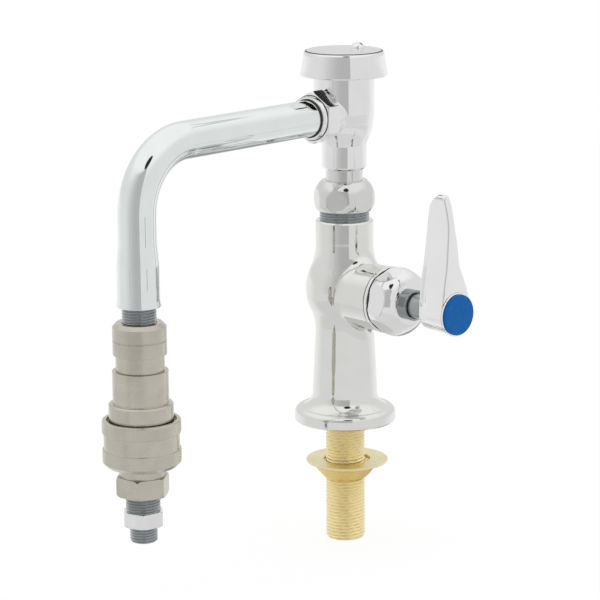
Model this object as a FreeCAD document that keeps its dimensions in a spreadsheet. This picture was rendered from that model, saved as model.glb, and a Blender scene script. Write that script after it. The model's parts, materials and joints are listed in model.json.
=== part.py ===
import FreeCAD, Part
import math
import os
import Sketcher

doc = FreeCAD.newDocument("PantryFaucet")

# All sizes in millimetres, angles in degrees. Rises, drops and gaps are measured from the form each starts on.
SIZES = {
    # fits
    "running_clearance": 0.05,
    "free_clearance": 0.3,
    "seal_clearance": 0.02,
    # overall
    "reach": 152.6,
    "swing": 5.2,
    "valve_height": 70.5,
    # inlet shank and what clamps it to the deck
    "shank_radius": 10.45,
    "supply_bore_radius": 7.0,
    "shank_drop": 65.5,
    "shank_engagement": 18.0,
    "shank_chamfer": 1.2,
    "shank_thread_pitch": 1.81,
    "shank_thread_land": 0.2,
    "shank_thread_depth": 1.05,
    "deck_grip": 22.0,
    "washer_radius": 21.85,
    "washer_hole_radius": 12.5,
    "washer_thickness": 1.2,
    "washer_shift": 0.9,
    "washer_shift_angle": 47.0,
    "locknut_radius": 17.2,
    "locknut_rim": 2.3,
    "locknut_step": 0.5,
    "locknut_height": 8.3,
    "locknut_end_radius": 11.8,
    "locknut_flute_radius": 1.1,
    "locknut_flute_depth": 0.45,
    # base body
    "flange_radius": 27.0,
    "flange_height": 7.5,
    "flange_edge_chamfer": 0.7,
    "flange_edge_radius": 3.3,
    "foot_radius": 17.2,
    "foot_rise": 9.2,
    "foot_blend_radius": 9.0,
    "foot_blend_reach": 5.7,
    "waist_radius": 15.6,
    "waist_drop": 21.5,
    "bulge_radius": 20.7,
    "bulge_rise": 1.0,
    "bulge_lower_radius": 17.4,
    "bulge_lower_drop": 11.0,
    "bulge_upper_radius": 17.6,
    "bulge_upper_rise": 14.0,
    "bulge_lower_arc": 23.5,
    "bulge_upper_arc": 29.7,
    "bulge_blend_arc": 30.0,
    "neck_radius": 15.3,
    "neck_rise": 27.5,
    "neck_length": 11.0,
    "neck_edge_chamfer": 0.8,
    "spigot_radius": 13.2,
    "spigot_length": 11.0,
    "inlet_bore_radius": 8.0,
    "inlet_bore_drop": 14.5,
    "inlet_passage_radius": 3.0,
    "inlet_passage_offset": 9.0,
    "inlet_port_radius": 4.0,
    "outlet_passage_radius": 3.4,
    "outlet_passage_offset": 9.0,
    "outlet_passage_rise": 5.5,
    "outlet_passage_overlap": 2.0,
    "outlet_cavity_radius": 10.0,
    "outlet_cavity_rise": 21.5,
    "outlet_cavity_length": 8.0,
    "branch_radius": 17.2,
    "branch_root": 10.0,
    "branch_reach": 31.5,
    "branch_edge_chamfer": 0.5,
    "branch_blend_radius": 8.0,
    "cartridge_bore_radius": 11.0,
    "cartridge_shoulder": 25.0,
    "bonnet_thread_radius": 12.5,
    "seat_setback": 4.0,
    # ceramic cartridge, lengths from the seat outward
    "seat_seal_thickness": 2.0,
    "seat_seal_inner": 5.2,
    "disc_radius": 9.5,
    "disc_thickness": 3.0,
    "disc_port_radius": 2.6,
    "disc_port_offset": 5.2,
    "driver_length": 3.0,
    "driver_width": 5.0,
    "driver_span": 16.0,
    "stem_collar_radius": 6.2,
    "stem_collar_length": 7.0,
    "window_gap": 2.5,
    "window_length": 6.0,
    "window_width": 9.0,
    "housing_shoulder_play": 0.2,
    "housing_shoulder_thickness": 2.0,
    "housing_neck_radius": 8.0,
    "housing_neck_length": 14.0,
    "housing_o_ring_wire": 1.5,
    "housing_o_ring_setback": 3.5,
    "stem_radius": 5.0,
    "stem_setback": 6.0,
    "stem_ring_groove_floor": 3.6,
    "stem_ring_groove_width": 1.6,
    "stem_ring_gap": 3.0,
    "stem_ring_pitch": 5.0,
    "clip_thickness": 1.0,
    "clip_radius": 7.0,
    "clip_groove_floor": 4.0,
    "stem_sleeve_radius": 6.5,
    "stem_sleeve_gap": 1.0,
    "handle_gap": 11.0,
    # bonnet
    "bonnet_gasket_thickness": 0.6,
    "bonnet_gasket_edge": 0.1,
    "bonnet_flange_edge": 0.4,
    "bonnet_flange_thickness": 1.7,
    "bonnet_groove_depth": 0.5,
    "bonnet_groove_width": 0.5,
    "bonnet_barrel_crown": 0.5,
    "bonnet_barrel_offset": 8.5,
    "bonnet_barrel_arc": 24.0,
    "bonnet_dome_end_radius": 10.5,
    "bonnet_dome_length": 9.5,
    "bonnet_dome_arc": 9.74,
    "bonnet_across_flats": 32.6,
    "bonnet_flat_turn": 50.0,
    "bonnet_neck_radius": 8.0,
    "bonnet_neck_length": 3.5,
    # lever handle
    "hub_radius": 11.2,
    "hub_taper": 0.7,
    "hub_back_round": 1.6,
    "hub_length": 18.5,
    "hub_web": 1.3,
    "hub_rim": 0.8,
    "hub_recess_depth": 1.3,
    "button_ledge": 1.4,
    "lever_corner_radius": 0.9,
    "screw_head_radius": 4.2,
    "screw_head_height": 2.6,
    "screw_radius": 2.2,
    "screw_length": 9.0,
    "screw_socket_radius": 1.5,
    "screw_socket_depth": 1.3,
    "button_crown": 0.25,
    "button_proud": 1.5,
    "button_skirt_wall": 1.6,
    "button_skirt_length": 2.4,
    # coupling nut, swivel tailpiece and washer
    "nut_gap": 5.2,
    "nut_bottom_radius": 14.5,
    "nut_barrel_radius": 16.3,
    "nut_shoulder": 5.3,
    "nut_barrel_width": 1.0,
    "nut_lower_arc": 8.7,
    "nut_upper_arc": 12.0,
    "nut_top_radius": 11.8,
    "nut_lip": 5.0,
    "nut_across_flats": 30.2,
    "collar_radius": 9.75,
    "swivel_flange_radius": 12.4,
    "swivel_flange_height": 3.0,
    "swivel_washer_thickness": 2.0,
    "swivel_spigot_radius": 8.0,
    "swivel_spigot_gap": 1.0,
    "swivel_spigot_chamfer": 0.8,
    "swivel_bore_radius": 5.0,
    "swivel_ring_groove_floor": 6.3,
    "swivel_ring_groove_width": 2.2,
    "swivel_ring_offset": 5.0,
    "swivel_ring_pitch": 6.0,
    "tail_thread_radius": 8.6,
    "tail_thread_length": 11.5,
    # vacuum breaker
    "collar_showing": 6.0,
    "breaker_chamfer": 1.2,
    "breaker_neck_radius": 11.75,
    "breaker_neck_length": 13.0,
    "breaker_step": 1.15,
    "breaker_step_length": 3.0,
    "breaker_step_arc": 27.0,
    "breaker_cone": 0.55,
    "breaker_shoulder_length": 9.4,
    "breaker_radius": 15.85,
    "breaker_cone_length": 4.6,
    "breaker_barrel_length": 22.0,
    "breaker_floor_rise": 1.0,
    "chamber_cone": 2.5,
    "breaker_wall": 2.85,
    "chamber_cone_length": 10.0,
    "breaker_port_radius": 5.5,
    "breaker_seat_radius": 7.3,
    "breaker_seat_height": 1.5,
    "outlet_rise": 29.6,
    "outlet_boss_radius": 10.6,
    "outlet_boss_reach": 23.0,
    "outlet_bore_radius": 6.5,
    "vent_gasket_thickness": 0.5,
    "vent_flange_setback": 0.35,
    "vent_flange_thickness": 2.0,
    "vent_bore_radius": 7.5,
    "vent_seat_depth": 6.8,
    "guide_radius": 4.5,
    "guide_rise": 1.8,
    "guide_height": 5.0,
    "guide_rib_width": 2.0,
    "guide_rib_height": 3.0,
    "post_radius": 1.6,
    "post_setback": 2.1,
    "plate_rise": 5.2,
    "plate_thickness": 2.0,
    "plate_setback": 1.35,
    "float_radius": 8.5,
    "float_disc_thickness": 2.0,
    "float_stem_radius": 3.0,
    "float_head_radius": 9.5,
    "float_travel": 3.7,
    "float_head_thickness": 2.5,
    "float_seal_thickness": 2.0,
    "float_seal_radius": 9.2,
    "float_pin_radius": 2.5,
    "float_pin_rise": 4.8,
    # hood
    "hood_depth": 11.8,
    "hood_flare": 1.6,
    "hood_lip_edge": 0.7,
    "hood_wall": 1.2,
    "hood_side_radius": 21.3,
    "hood_edge_height": 3.2,
    "hood_crest_setback": 0.6,
    "hood_crest_width": 0.5,
    "hood_crest_rise": 0.9,
    "hood_edge_arc": 3.6,
    "hood_groove_setback": 1.0,
    "hood_groove_depth": 0.6,
    "hood_panel_thickness": 2.4,
    "hood_screw_offset": 11.0,
    "hood_screw_radius": 1.9,
    "hood_screw_head_radius": 3.8,
    "hood_screw_head_height": 3.7,
    "hood_screw_head_edge": 1.0,
    "hood_screw_tip": 1.7,
    "hood_screw_slot_width": 1.2,
    "hood_screw_slot_depth": 1.2,
    # outlet nut and spout tube
    "outlet_nut_start": 17.0,
    "outlet_nut_hex_end": 26.0,
    "outlet_nut_end": 28.5,
    "outlet_nut_across_flats": 24.2,
    "outlet_nut_turn": 2.0,
    "outlet_nut_chamfer": 1.1,
    "outlet_nut_collar_radius": 11.7,
    "outlet_nut_end_radius": 11.0,
    "outlet_gasket_thickness": 1.0,
    "tube_radius": 9.525,
    "tube_wall": 1.25,
    "tube_collar_radius": 10.5,
    "tube_collar_thickness": 1.3,
    "bend_radius": 33.0,
    "tube_drop": 13.6,
    "swage_length": 10.5,
    "swage_radius": 10.5,
    "swage_land": 20.1,
    "tube_rim_height": 1.6,
    "tube_rim_step": 0.8,
    "tube_rim_radius": 11.1,
    "tube_socket_depth": 15.0,
    # pipe threads
    "three_eighths_thread_radius": 8.57,
    "quarter_thread_radius": 6.86,
    "nipple_bore_radius": 6.2,
    "nipple_tip_gap": 1.0,
    "nipple_engagement": 13.6,
    "thread_end_chamfer": 0.8,
    # quick disconnect
    "nipple_showing": 7.9,
    "adaptor_wall": 1.8,
    "adaptor_neck_height": 8.1,
    "adaptor_radius": 13.3,
    "adaptor_height": 24.0,
    "adaptor_chamfer": 2.0,
    "adaptor_groove_height": 15.0,
    "adaptor_groove_width": 0.6,
    "adaptor_groove_depth": 0.4,
    "adaptor_socket_radius": 10.2,
    "adaptor_socket_depth": 9.5,
    "adaptor_thread_start": 14.0,
    "coupler_length": 47.5,
    "ball_protrusion": 0.5,
    "barrel_length": 18.0,
    "shoulder_step": 2.4,
    "shoulder_height": 12.5,
    "shoulder_chamfer": 0.8,
    "coupler_radius": 13.8,
    "coupler_bore_radius": 9.3,
    "coupler_bore_depth": 22.0,
    "web_thickness": 2.5,
    "web_hole_radius": 6.0,
    "poppet_chamber_radius": 8.0,
    "coupler_ring_groove_depth": 1.7,
    "coupler_ring_groove_at": 12.5,
    "coupler_ring_groove_width": 2.4,
    "ball_radius": 2.4,
    "ball_hole_clearance": 0.05,
    "ball_height": 6.0,
    "ball_count": 6,
    "retaining_ring_at": 2.3,
    "retaining_ring_thickness": 1.2,
    "retaining_ring_stand": 1.6,
    "retaining_ring_bite": 0.7,
    "sleeve_overhang": 0.7,
    "sleeve_wall": 3.4,
    "sleeve_waist_depth": 0.7,
    "sleeve_bottom_taper": 2.4,
    "sleeve_bottom_height": 2.3,
    "sleeve_lower_band": 6.5,
    "sleeve_waist_height": 8.2,
    "sleeve_upper_band": 6.7,
    "sleeve_rim": 2.1,
    "sleeve_lip_depth": 2.8,
    "sleeve_edge_round": 0.9,
    "sleeve_land_length": 5.0,
    "sleeve_spring_wire": 0.45,
    "sleeve_spring_offset": 1.2,
    "sleeve_spring_turns": 3.25,
    "poppet_gap": 1.0,
    "poppet_stem_radius": 2.0,
    "poppet_side_gap": 1.0,
    "poppet_head_thickness": 2.0,
    "poppet_tail_radius": 2.5,
    "poppet_tail_length": 12.5,
    "poppet_seal_thickness": 1.0,
    "guide_disc_rise": 16.5,
    "guide_disc_thickness": 2.0,
    "guide_disc_port_radius": 1.4,
    "guide_disc_port_circle": 5.9,
    "poppet_guide_radius": 4.0,
    "poppet_guide_length": 4.0,
    "check_spring_wire": 0.4,
    "check_spring_radius": 5.0,
    "check_spring_turns": 4.0,
    # plug and reducing nipple
    "plug_neck_length": 5.0,
    "plug_across_flats": 23.8,
    "plug_hex_height": 10.1,
    "plug_hex_turn": -21.4,
    "plug_chamfer": 1.2,
    "plug_neck_radius": 11.4,
    "plug_neck_gap": 0.6,
    "plug_nose_gap": 1.0,
    "plug_nose_chamfer": 0.8,
    "plug_groove_clearance": 0.4,
    "plug_groove_play": 0.6,
    "plug_bore_radius": 5.5,
    "plug_thread_depth": 10.7,
    "plug_bar_width": 2.0,
    "plug_bar_root": 1.0,
    "plug_bar_height": 3.0,
    "reducer_engagement": 9.7,
    "reducer_neck": 8.0,
    "reducer_across_flats": 19.05,
    "reducer_hex_height": 7.6,
    "reducer_hex_turn": -9.1,
    "reducer_chamfer": 1.0,
    "reducer_thread_length": 8.3,
    "reducer_bore_radius": 4.6,
}

# Lever sections: rise from the section below, back and front from the hub's back face, half the thickness.
LEVER = [
    (3.0, 0.6, 17.9, 10.4),
    (7.9, -0.3, 17.4, 8.9),
    (6.3, -1.0, 16.7, 7.2),
    (7.4, -1.7, 15.7, 4.9),
    (10.1, -1.3, 15.3, 3.8),
    (9.8, -1.2, 14.5, 2.6),
    (5.1, -0.6, 13.6, 2.4),
    (4.6, 0.2, 12.5, 2.4),
    (3.1, 2.0, 11.4, 2.3),
    (3.1, 4.9, 10.8, 1.1),
]
for number, (rise, back, front, half) in enumerate(LEVER, 1):
    SIZES["lever_rise_%02d" % number] = rise
    SIZES["lever_back_%02d" % number] = back
    SIZES["lever_front_%02d" % number] = front
    SIZES["lever_half_%02d" % number] = half

sheet = doc.addObject("Spreadsheet::Sheet", "Sizes")
for row, (name, value) in enumerate(SIZES.items(), 1):
    sheet.set("A%d" % row, name)
    sheet.set("B%d" % row, str(value))
    sheet.setAlias("B%d" % row, name)
doc.recompute()


class Size:
    """A number and the spreadsheet expression it comes from."""

    def __init__(self, value, text):
        self.value = float(value)
        self.text = text

    def __add__(self, other):
        other = sized(other)
        return Size(self.value + other.value, "(%s + %s)" % (self.text, other.text))

    def __sub__(self, other):
        other = sized(other)
        return Size(self.value - other.value, "(%s - %s)" % (self.text, other.text))

    def __mul__(self, other):
        other = sized(other)
        return Size(self.value * other.value, "(%s * %s)" % (self.text, other.text))

    def __truediv__(self, other):
        other = sized(other)
        return Size(self.value / other.value, "(%s / %s)" % (self.text, other.text))

    def __neg__(self):
        return Size(-self.value, "(0 - %s)" % self.text)


def sized(number):
    if isinstance(number, Size):
        return number
    return Size(number, repr(float(number)))


class Names:
    pass


d = Names()
for name, value in SIZES.items():
    setattr(d, name, Size(value, "Sizes." + name))

ZERO = sized(0)
HALF_HEX = 2 / math.sqrt(3)
HALF_TURN = 180
nodes = []


def derive(name, size):
    """A size that follows from others, kept in the sheet under its own name."""
    row = len(SIZES) + 1
    SIZES[name] = size.value
    sheet.set("A%d" % row, name)
    sheet.set("B%d" % row, "=" + size.text.replace("Sizes.", ""))
    sheet.setAlias("B%d" % row, name)
    setattr(d, name, Size(size.value, "Sizes." + name))


# Base body, upward from the flange and both ways from the valve axis
derive("foot_top", d.flange_height + d.foot_rise)
derive("foot_blend_start", d.foot_radius + d.foot_blend_reach)
derive("waist_height", d.valve_height - d.waist_drop)
derive("bulge_lower_height", d.valve_height - d.bulge_lower_drop)
derive("bulge_height", d.valve_height + d.bulge_rise)
derive("bulge_upper_height", d.valve_height + d.bulge_upper_rise)
derive("neck_start", d.valve_height + d.neck_rise)
derive("neck_top", d.neck_start + d.neck_length)
derive("spigot_top", d.neck_top + d.spigot_length)
derive("inlet_bore_top", d.valve_height - d.inlet_bore_drop)
derive("outlet_cavity_bottom", d.valve_height + d.outlet_cavity_rise)
derive("outlet_cavity_top", d.outlet_cavity_bottom + d.outlet_cavity_length)
derive("outlet_passage_bottom", d.valve_height + d.outlet_passage_rise)
derive("outlet_passage_top", d.outlet_cavity_bottom + d.outlet_passage_overlap)

# Valve, outward from the cartridge seat
derive("window_start", d.seat_seal_thickness + d.disc_thickness * 2 + d.window_gap)
derive("housing_shoulder_radius", d.bonnet_thread_radius - d.housing_shoulder_play)
derive("housing_length", d.cartridge_shoulder + d.housing_shoulder_thickness + d.housing_neck_length)
derive("housing_o_ring_offset", d.cartridge_shoulder - d.housing_o_ring_setback)
derive("stem_ring_first", d.cartridge_shoulder + d.stem_ring_gap)
derive("bonnet_gasket_radius", d.branch_radius + d.bonnet_gasket_edge)
derive("bonnet_flange_radius", d.branch_radius + d.bonnet_flange_edge)
derive("bonnet_groove_radius", d.bonnet_flange_radius - d.bonnet_groove_depth)
derive("bonnet_barrel_radius", d.bonnet_flange_radius + d.bonnet_barrel_crown)
derive("bonnet_barrel_at", d.branch_reach + d.seat_setback + d.bonnet_barrel_offset)
derive("bonnet_dome_end", d.bonnet_barrel_at + d.bonnet_dome_length)
derive("bonnet_end", d.bonnet_dome_end + d.bonnet_neck_length)
derive("handle_start", d.bonnet_end + d.handle_gap)
derive("hub_end", d.handle_start + d.hub_length)
derive("stem_length", d.hub_end - d.stem_setback)
derive("hub_back_radius", d.hub_radius - d.hub_taper)
derive("hub_recess_radius", d.hub_radius - d.hub_rim)
derive("hub_counterbore_radius", d.hub_recess_radius - d.button_ledge)
derive("button_skirt_inner", d.hub_counterbore_radius - d.button_skirt_wall)

# Coupling nut, swivel and vacuum breaker, upward from the base
derive("nut_start", d.neck_top + d.nut_gap)
derive("nut_barrel_at", d.nut_start + d.nut_shoulder)
derive("nut_top", d.spigot_top + d.swivel_flange_height + d.swivel_washer_thickness + d.nut_lip)
derive("swivel_spigot_bottom", d.outlet_cavity_top + d.swivel_spigot_gap)
derive("swivel_ring_first", d.swivel_spigot_bottom + d.swivel_ring_offset)
derive("breaker_bottom", d.nut_top + d.collar_showing)
derive("tail_thread_top", d.breaker_bottom + d.tail_thread_length)
derive("breaker_neck_top", d.breaker_bottom + d.breaker_neck_length)
derive("breaker_step_radius", d.breaker_neck_radius + d.breaker_step)
derive("breaker_step_top", d.breaker_neck_top + d.breaker_step_length)
derive("breaker_shoulder_radius", d.breaker_radius - d.breaker_cone)
derive("breaker_shoulder_height", d.breaker_step_top + d.breaker_shoulder_length)
derive("breaker_full_height", d.breaker_shoulder_height + d.breaker_cone_length)
derive("breaker_top", d.breaker_full_height + d.breaker_barrel_length)
derive("arm_height", d.breaker_bottom + d.outlet_rise)
derive("breaker_floor", d.breaker_step_top + d.breaker_floor_rise)
derive("chamber_radius", d.breaker_radius - d.breaker_wall)
derive("breaker_floor_radius", d.chamber_radius - d.chamber_cone)
derive("chamber_full_height", d.breaker_floor + d.chamber_cone_length)
derive("vent_seat_height", d.breaker_top - d.vent_seat_depth)
derive("vent_flange_radius", d.breaker_radius - d.vent_flange_setback)
derive("guide_bottom", d.vent_seat_height + d.guide_rise)
derive("float_head_bottom",
       d.vent_seat_height - d.float_travel - d.float_seal_thickness - d.float_head_thickness)
derive("float_top", d.vent_seat_height + d.float_pin_rise)
derive("plate_bottom", d.breaker_top + d.plate_rise)
derive("plate_radius", d.breaker_radius - d.plate_setback)
derive("post_circle", d.plate_radius - d.post_setback)
derive("hood_panel_height", d.plate_bottom + d.plate_thickness + d.hood_panel_thickness)
derive("hood_crest_height", d.hood_panel_height + d.hood_crest_rise)
derive("hood_groove_height", d.hood_panel_height - d.hood_groove_depth)
derive("hood_side_height", d.hood_crest_height - d.hood_edge_height)
derive("hood_lip_height", d.hood_crest_height - d.hood_depth)
derive("hood_lip_radius", d.hood_side_radius + d.hood_flare)
derive("hood_crest_radius", d.hood_side_radius - d.hood_crest_setback)
derive("hood_groove_radius", d.hood_crest_radius - d.hood_groove_setback)
derive("hood_screw_end", d.plate_bottom - d.hood_screw_tip)

# Spout tube and quick disconnect, downward from the arm
derive("swage_top", d.arm_height - d.bend_radius - d.tube_drop)
derive("swage_full", d.swage_top - d.swage_length)
derive("tube_end", d.swage_full - d.swage_land)
derive("nipple_top", d.tube_end + d.nipple_engagement)
derive("adaptor_bottom", d.tube_end - d.nipple_showing - d.adaptor_height)
derive("adaptor_neck_radius", d.adaptor_socket_radius + d.adaptor_wall)
derive("nipple_bottom", d.adaptor_bottom + d.adaptor_thread_start + d.nipple_tip_gap)
derive("coupler_bottom", d.adaptor_bottom - d.coupler_length)
derive("barrel_radius", d.coupler_bore_radius + d.ball_radius * 2 - d.ball_protrusion)
derive("shoulder_radius", d.barrel_radius + d.shoulder_step)
derive("coupler_ring_groove_radius", d.coupler_bore_radius + d.coupler_ring_groove_depth)
derive("retaining_ring_radius", d.barrel_radius + d.retaining_ring_stand)
derive("retaining_ring_floor", d.barrel_radius - d.retaining_ring_bite)
derive("sleeve_spring_radius", d.barrel_radius + d.sleeve_spring_offset)
derive("sleeve_radius", d.shoulder_radius + d.sleeve_wall)
derive("sleeve_waist_radius", d.sleeve_radius - d.sleeve_waist_depth)
derive("sleeve_bottom_radius", d.sleeve_radius - d.sleeve_bottom_taper)
derive("sleeve_lip_radius", d.sleeve_radius - d.sleeve_rim)
derive("poppet_radius", d.poppet_chamber_radius - d.poppet_side_gap)
derive("guide_disc_at", d.coupler_bore_depth + d.web_thickness + d.guide_disc_rise)
derive("plug_bottom", d.coupler_bottom - d.plug_neck_gap - d.plug_neck_length - d.plug_hex_height)
derive("plug_nose_radius", d.coupler_bore_radius - d.free_clearance)
derive("plug_groove_floor", d.coupler_bore_radius - d.ball_protrusion - d.plug_groove_clearance)
derive("plug_groove_width", d.ball_radius * 2 + d.plug_groove_play)
doc.recompute()


def vector(x, y, z=0):
    return FreeCAD.Vector(x, y, z)


def new_body(label, x=ZERO, y=ZERO, z=ZERO, yaw=None):
    body = doc.addObject("PartDesign::Body", label)
    body.Label = label
    bind_place(body, x, y, z, yaw)
    nodes.append(body)
    return body


def bind_place(thing, x=ZERO, y=ZERO, z=ZERO, yaw=None):
    for axis, value in (("x", x), ("y", y), ("z", z)):
        thing.setExpression("Placement.Base." + axis, sized(value).text)
    if yaw is not None:
        thing.setExpression("Placement.Rotation.Angle", yaw.text)


def plane_of(body, role):
    return [item for item in body.Origin.OriginFeatures if item.Role == role][0]


def new_sketch(body, name, role, offset=None, turn=None):
    sketch = body.newObject("Sketcher::SketchObject", body.Label + "_" + name)
    sketch.AttachmentSupport = [(plane_of(body, role), "")]
    sketch.MapMode = "FlatFace"
    if offset is not None:
        sketch.setExpression(".AttachmentOffset.Base.z", sized(offset).text)
    if turn is not None:
        sketch.setExpression(".AttachmentOffset.Rotation.Angle", sized(turn).text)
    return sketch


def pin_down(sketch, geometry, position, axis, size):
    size = sized(size)
    if abs(size.value) < 1e-9:
        own_axis = -2 if axis == 0 else -1
        sketch.addConstraint(Sketcher.Constraint("PointOnObject", geometry, position, own_axis))
        return
    kind = ("DistanceX", "DistanceY")[axis]
    index = sketch.addConstraint(Sketcher.Constraint(kind, -1, 1, geometry, position, size.value))
    sketch.setExpression(".Constraints[%d]" % index, size.text)


def arc_between(start, end, radius, side):
    """Arc from start to end with its centre on the left (side 1) or the right (side -1)."""
    chord = math.hypot(end[0] - start[0], end[1] - start[1])
    rise = math.sqrt(max(radius * radius - chord * chord / 4, 0))
    across = (-(end[1] - start[1]) / chord * side, (end[0] - start[0]) / chord * side)
    centre = ((start[0] + end[0]) / 2 + across[0] * rise, (start[1] + end[1]) / 2 + across[1] * rise)
    first, last = (start, end) if side > 0 else (end, start)
    angle_first = math.atan2(first[1] - centre[1], first[0] - centre[0])
    angle_last = math.atan2(last[1] - centre[1], last[0] - centre[0])
    if angle_last < angle_first:
        angle_last += 2 * math.pi
    circle = Part.Circle(vector(*centre), vector(0, 0, 1), radius)
    return Part.ArcOfCircle(circle, angle_first, angle_last)


def draw(sketch, points, closed=True):
    """Points are (x, y), or (x, y, radius, side) where the edge that leaves them is an arc."""
    count = len(points)
    values = [(sized(point[0]).value, sized(point[1]).value) for point in points]
    starts, ends = [], []
    for index in range(count if closed else count - 1):
        point, here, there = points[index], values[index], values[(index + 1) % count]
        if len(point) == 4:
            sketch.addGeometry(arc_between(here, there, sized(point[2]).value, point[3]), False)
        else:
            sketch.addGeometry(Part.LineSegment(vector(*here), vector(*there)), False)
        turned_back = len(point) == 4 and point[3] < 0
        starts.append(2 if turned_back else 1)
        ends.append(1 if turned_back else 2)
    edges = len(starts)
    for index in range(edges if closed else edges - 1):
        after = (index + 1) % edges
        sketch.addConstraint(Sketcher.Constraint("Coincident", index, ends[index], after, starts[after]))
    for index in range(edges):
        pin_down(sketch, index, starts[index], 0, points[index][0])
        pin_down(sketch, index, starts[index], 1, points[index][1])
        if len(points[index]) == 4:
            radius = sized(points[index][2])
            number = sketch.addConstraint(Sketcher.Constraint("Radius", index, radius.value))
            sketch.setExpression(".Constraints[%d]" % number, radius.text)
    if not closed:
        pin_down(sketch, edges - 1, ends[-1], 0, points[-1][0])
        pin_down(sketch, edges - 1, ends[-1], 1, points[-1][1])
    return sketch


def draw_circle(sketch, x, y, radius):
    index = sketch.addGeometry(Part.Circle(vector(sized(x).value, sized(y).value), vector(0, 0, 1),
                                           sized(radius).value), False)
    pin_down(sketch, index, 3, 0, x)
    pin_down(sketch, index, 3, 1, y)
    number = sketch.addConstraint(Sketcher.Constraint("Radius", index, sized(radius).value))
    sketch.setExpression(".Constraints[%d]" % number, sized(radius).text)
    return sketch


def box_points(x0, x1, y0, y1):
    return [(x0, y0), (x1, y0), (x1, y1), (x0, y1)]


def spin(body, name, axis, points, height=None, cut=False):
    """Turned feature: points are (radius, distance along the axis), with arcs as in draw."""
    if axis == "X":
        points = [(p[1], p[0]) if len(p) == 2 else (p[1], p[0], p[2], -p[3]) for p in points]
    sketch = new_sketch(body, name + "_profile", "XZ_Plane" if axis == "Z" else "XY_Plane", height)
    draw(sketch, points)
    kind = "PartDesign::Groove" if cut else "PartDesign::Revolution"
    feature = body.newObject(kind, body.Label + "_" + name)
    feature.Profile = sketch
    feature.ReferenceAxis = (sketch, ["H_Axis" if axis == "X" else "V_Axis"])
    feature.Angle = 360
    body.Tip = feature
    return feature


def push(body, name, sketch, length, cut=True):
    """Pad or pocket that reaches equally to both sides of its sketch."""
    feature = body.newObject("PartDesign::Pocket" if cut else "PartDesign::Pad", body.Label + "_" + name)
    feature.Profile = sketch
    feature.SideType = "Symmetric"
    feature.setExpression("Length", sized(length).text)
    body.Tip = feature
    return feature


def repeat(body, name, feature, sketch, count):
    pattern = body.newObject("PartDesign::PolarPattern", body.Label + "_" + name)
    pattern.Originals = [feature]
    pattern.Axis = (sketch, ["N_Axis"])
    pattern.Angle = 360
    if isinstance(count, Size):
        pattern.setExpression("Occurrences", count.text)
    else:
        pattern.Occurrences = count
    body.Tip = pattern
    return pattern


def stack(body, name, feature, sketch, pitch, count):
    """Copies of a feature along the axis that its sketch is turned about."""
    pattern = body.newObject("PartDesign::LinearPattern", body.Label + "_" + name)
    pattern.Originals = [feature]
    pattern.Direction = (sketch, ["V_Axis"])
    pattern.setExpression("Length", (pitch * (count - 1)).text)
    pattern.Occurrences = count
    body.Tip = pattern
    return pattern


def hexagon(body, name, role, across, start, length, turn=ZERO, outward=1):
    """Six flats cut into a turned blank between start and start + length."""
    middle = (start + length / 2) * outward
    sketch = new_sketch(body, name + "_profile", role, middle, turn)
    reach = across
    draw(sketch, box_points(across / 2, across / 2 + reach, -reach, reach))
    flat = push(body, name + "_flat", sketch, length)
    return repeat(body, name, flat, sketch, 6)


def ring(label, inner, outer, bottom, thickness, axis="Z", **place):
    body = new_body(label, **place)
    spin(body, "ring", axis, [(inner, bottom), (outer, bottom), (outer, bottom + thickness),
                              (inner, bottom + thickness)])
    return body


def torus(name, inner, outer, along, axis="Z"):
    part = doc.addObject("Part::Torus", name)
    part.setExpression("Radius1", ((inner + outer) / 2).text)
    part.setExpression("Radius2", ((outer - inner) / 2).text)
    part.setExpression("Placement.Base." + axis.lower(), sized(along).text)
    if axis == "X":
        part.Placement.Rotation = FreeCAD.Rotation(vector(0, 1, 0), 90)
    return part


def group(label, members, **place):
    compound = doc.addObject("Part::Compound", label)
    compound.Label = label
    compound.Links = members
    bind_place(compound, **place)
    nodes.append(compound)
    return compound


def coil(label, radius, wire, start, length, turns, **place):
    """Compression spring between two faces, start and start + length."""
    body = new_body(label, **place)
    sketch = new_sketch(body, "wire", "XZ_Plane")
    draw_circle(sketch, radius, start + wire, wire)
    spring = body.newObject("PartDesign::AdditiveHelix", label + "_helix")
    spring.Profile = sketch
    spring.ReferenceAxis = (sketch, ["V_Axis"])
    spring.Mode = 1
    spring.Angle = 0
    spring.Growth = 0
    spring.setExpression("Height", (length - wire * 2).text)
    spring.setExpression("Turns", turns.text)
    spring.setExpression("Pitch", ((length - wire * 2) / turns).text)
    body.Tip = spring
    return body


yaw = d.swing + HALF_TURN
swing_sine = Size(math.sin(math.radians(SIZES["swing"])), "sin(Sizes.swing * 1 deg)")
swing_cosine = Size(math.cos(math.radians(SIZES["swing"])), "cos(Sizes.swing * 1 deg)")
leg_x = d.reach * swing_sine
leg_y = -(d.reach * swing_cosine)
valve = {"x": -d.seat_setback, "z": d.valve_height}


# Inlet shank, washer and locknut

shank = new_body("inlet_shank", z=-d.shank_drop)
shank_length = d.shank_drop + d.shank_engagement
spin(shank, "barrel", "Z", [
    (d.supply_bore_radius, ZERO),
    (d.shank_radius - d.shank_chamfer, ZERO),
    (d.shank_radius, d.shank_chamfer),
    (d.shank_radius, shank_length),
    (d.supply_bore_radius, shank_length),
])

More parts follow.
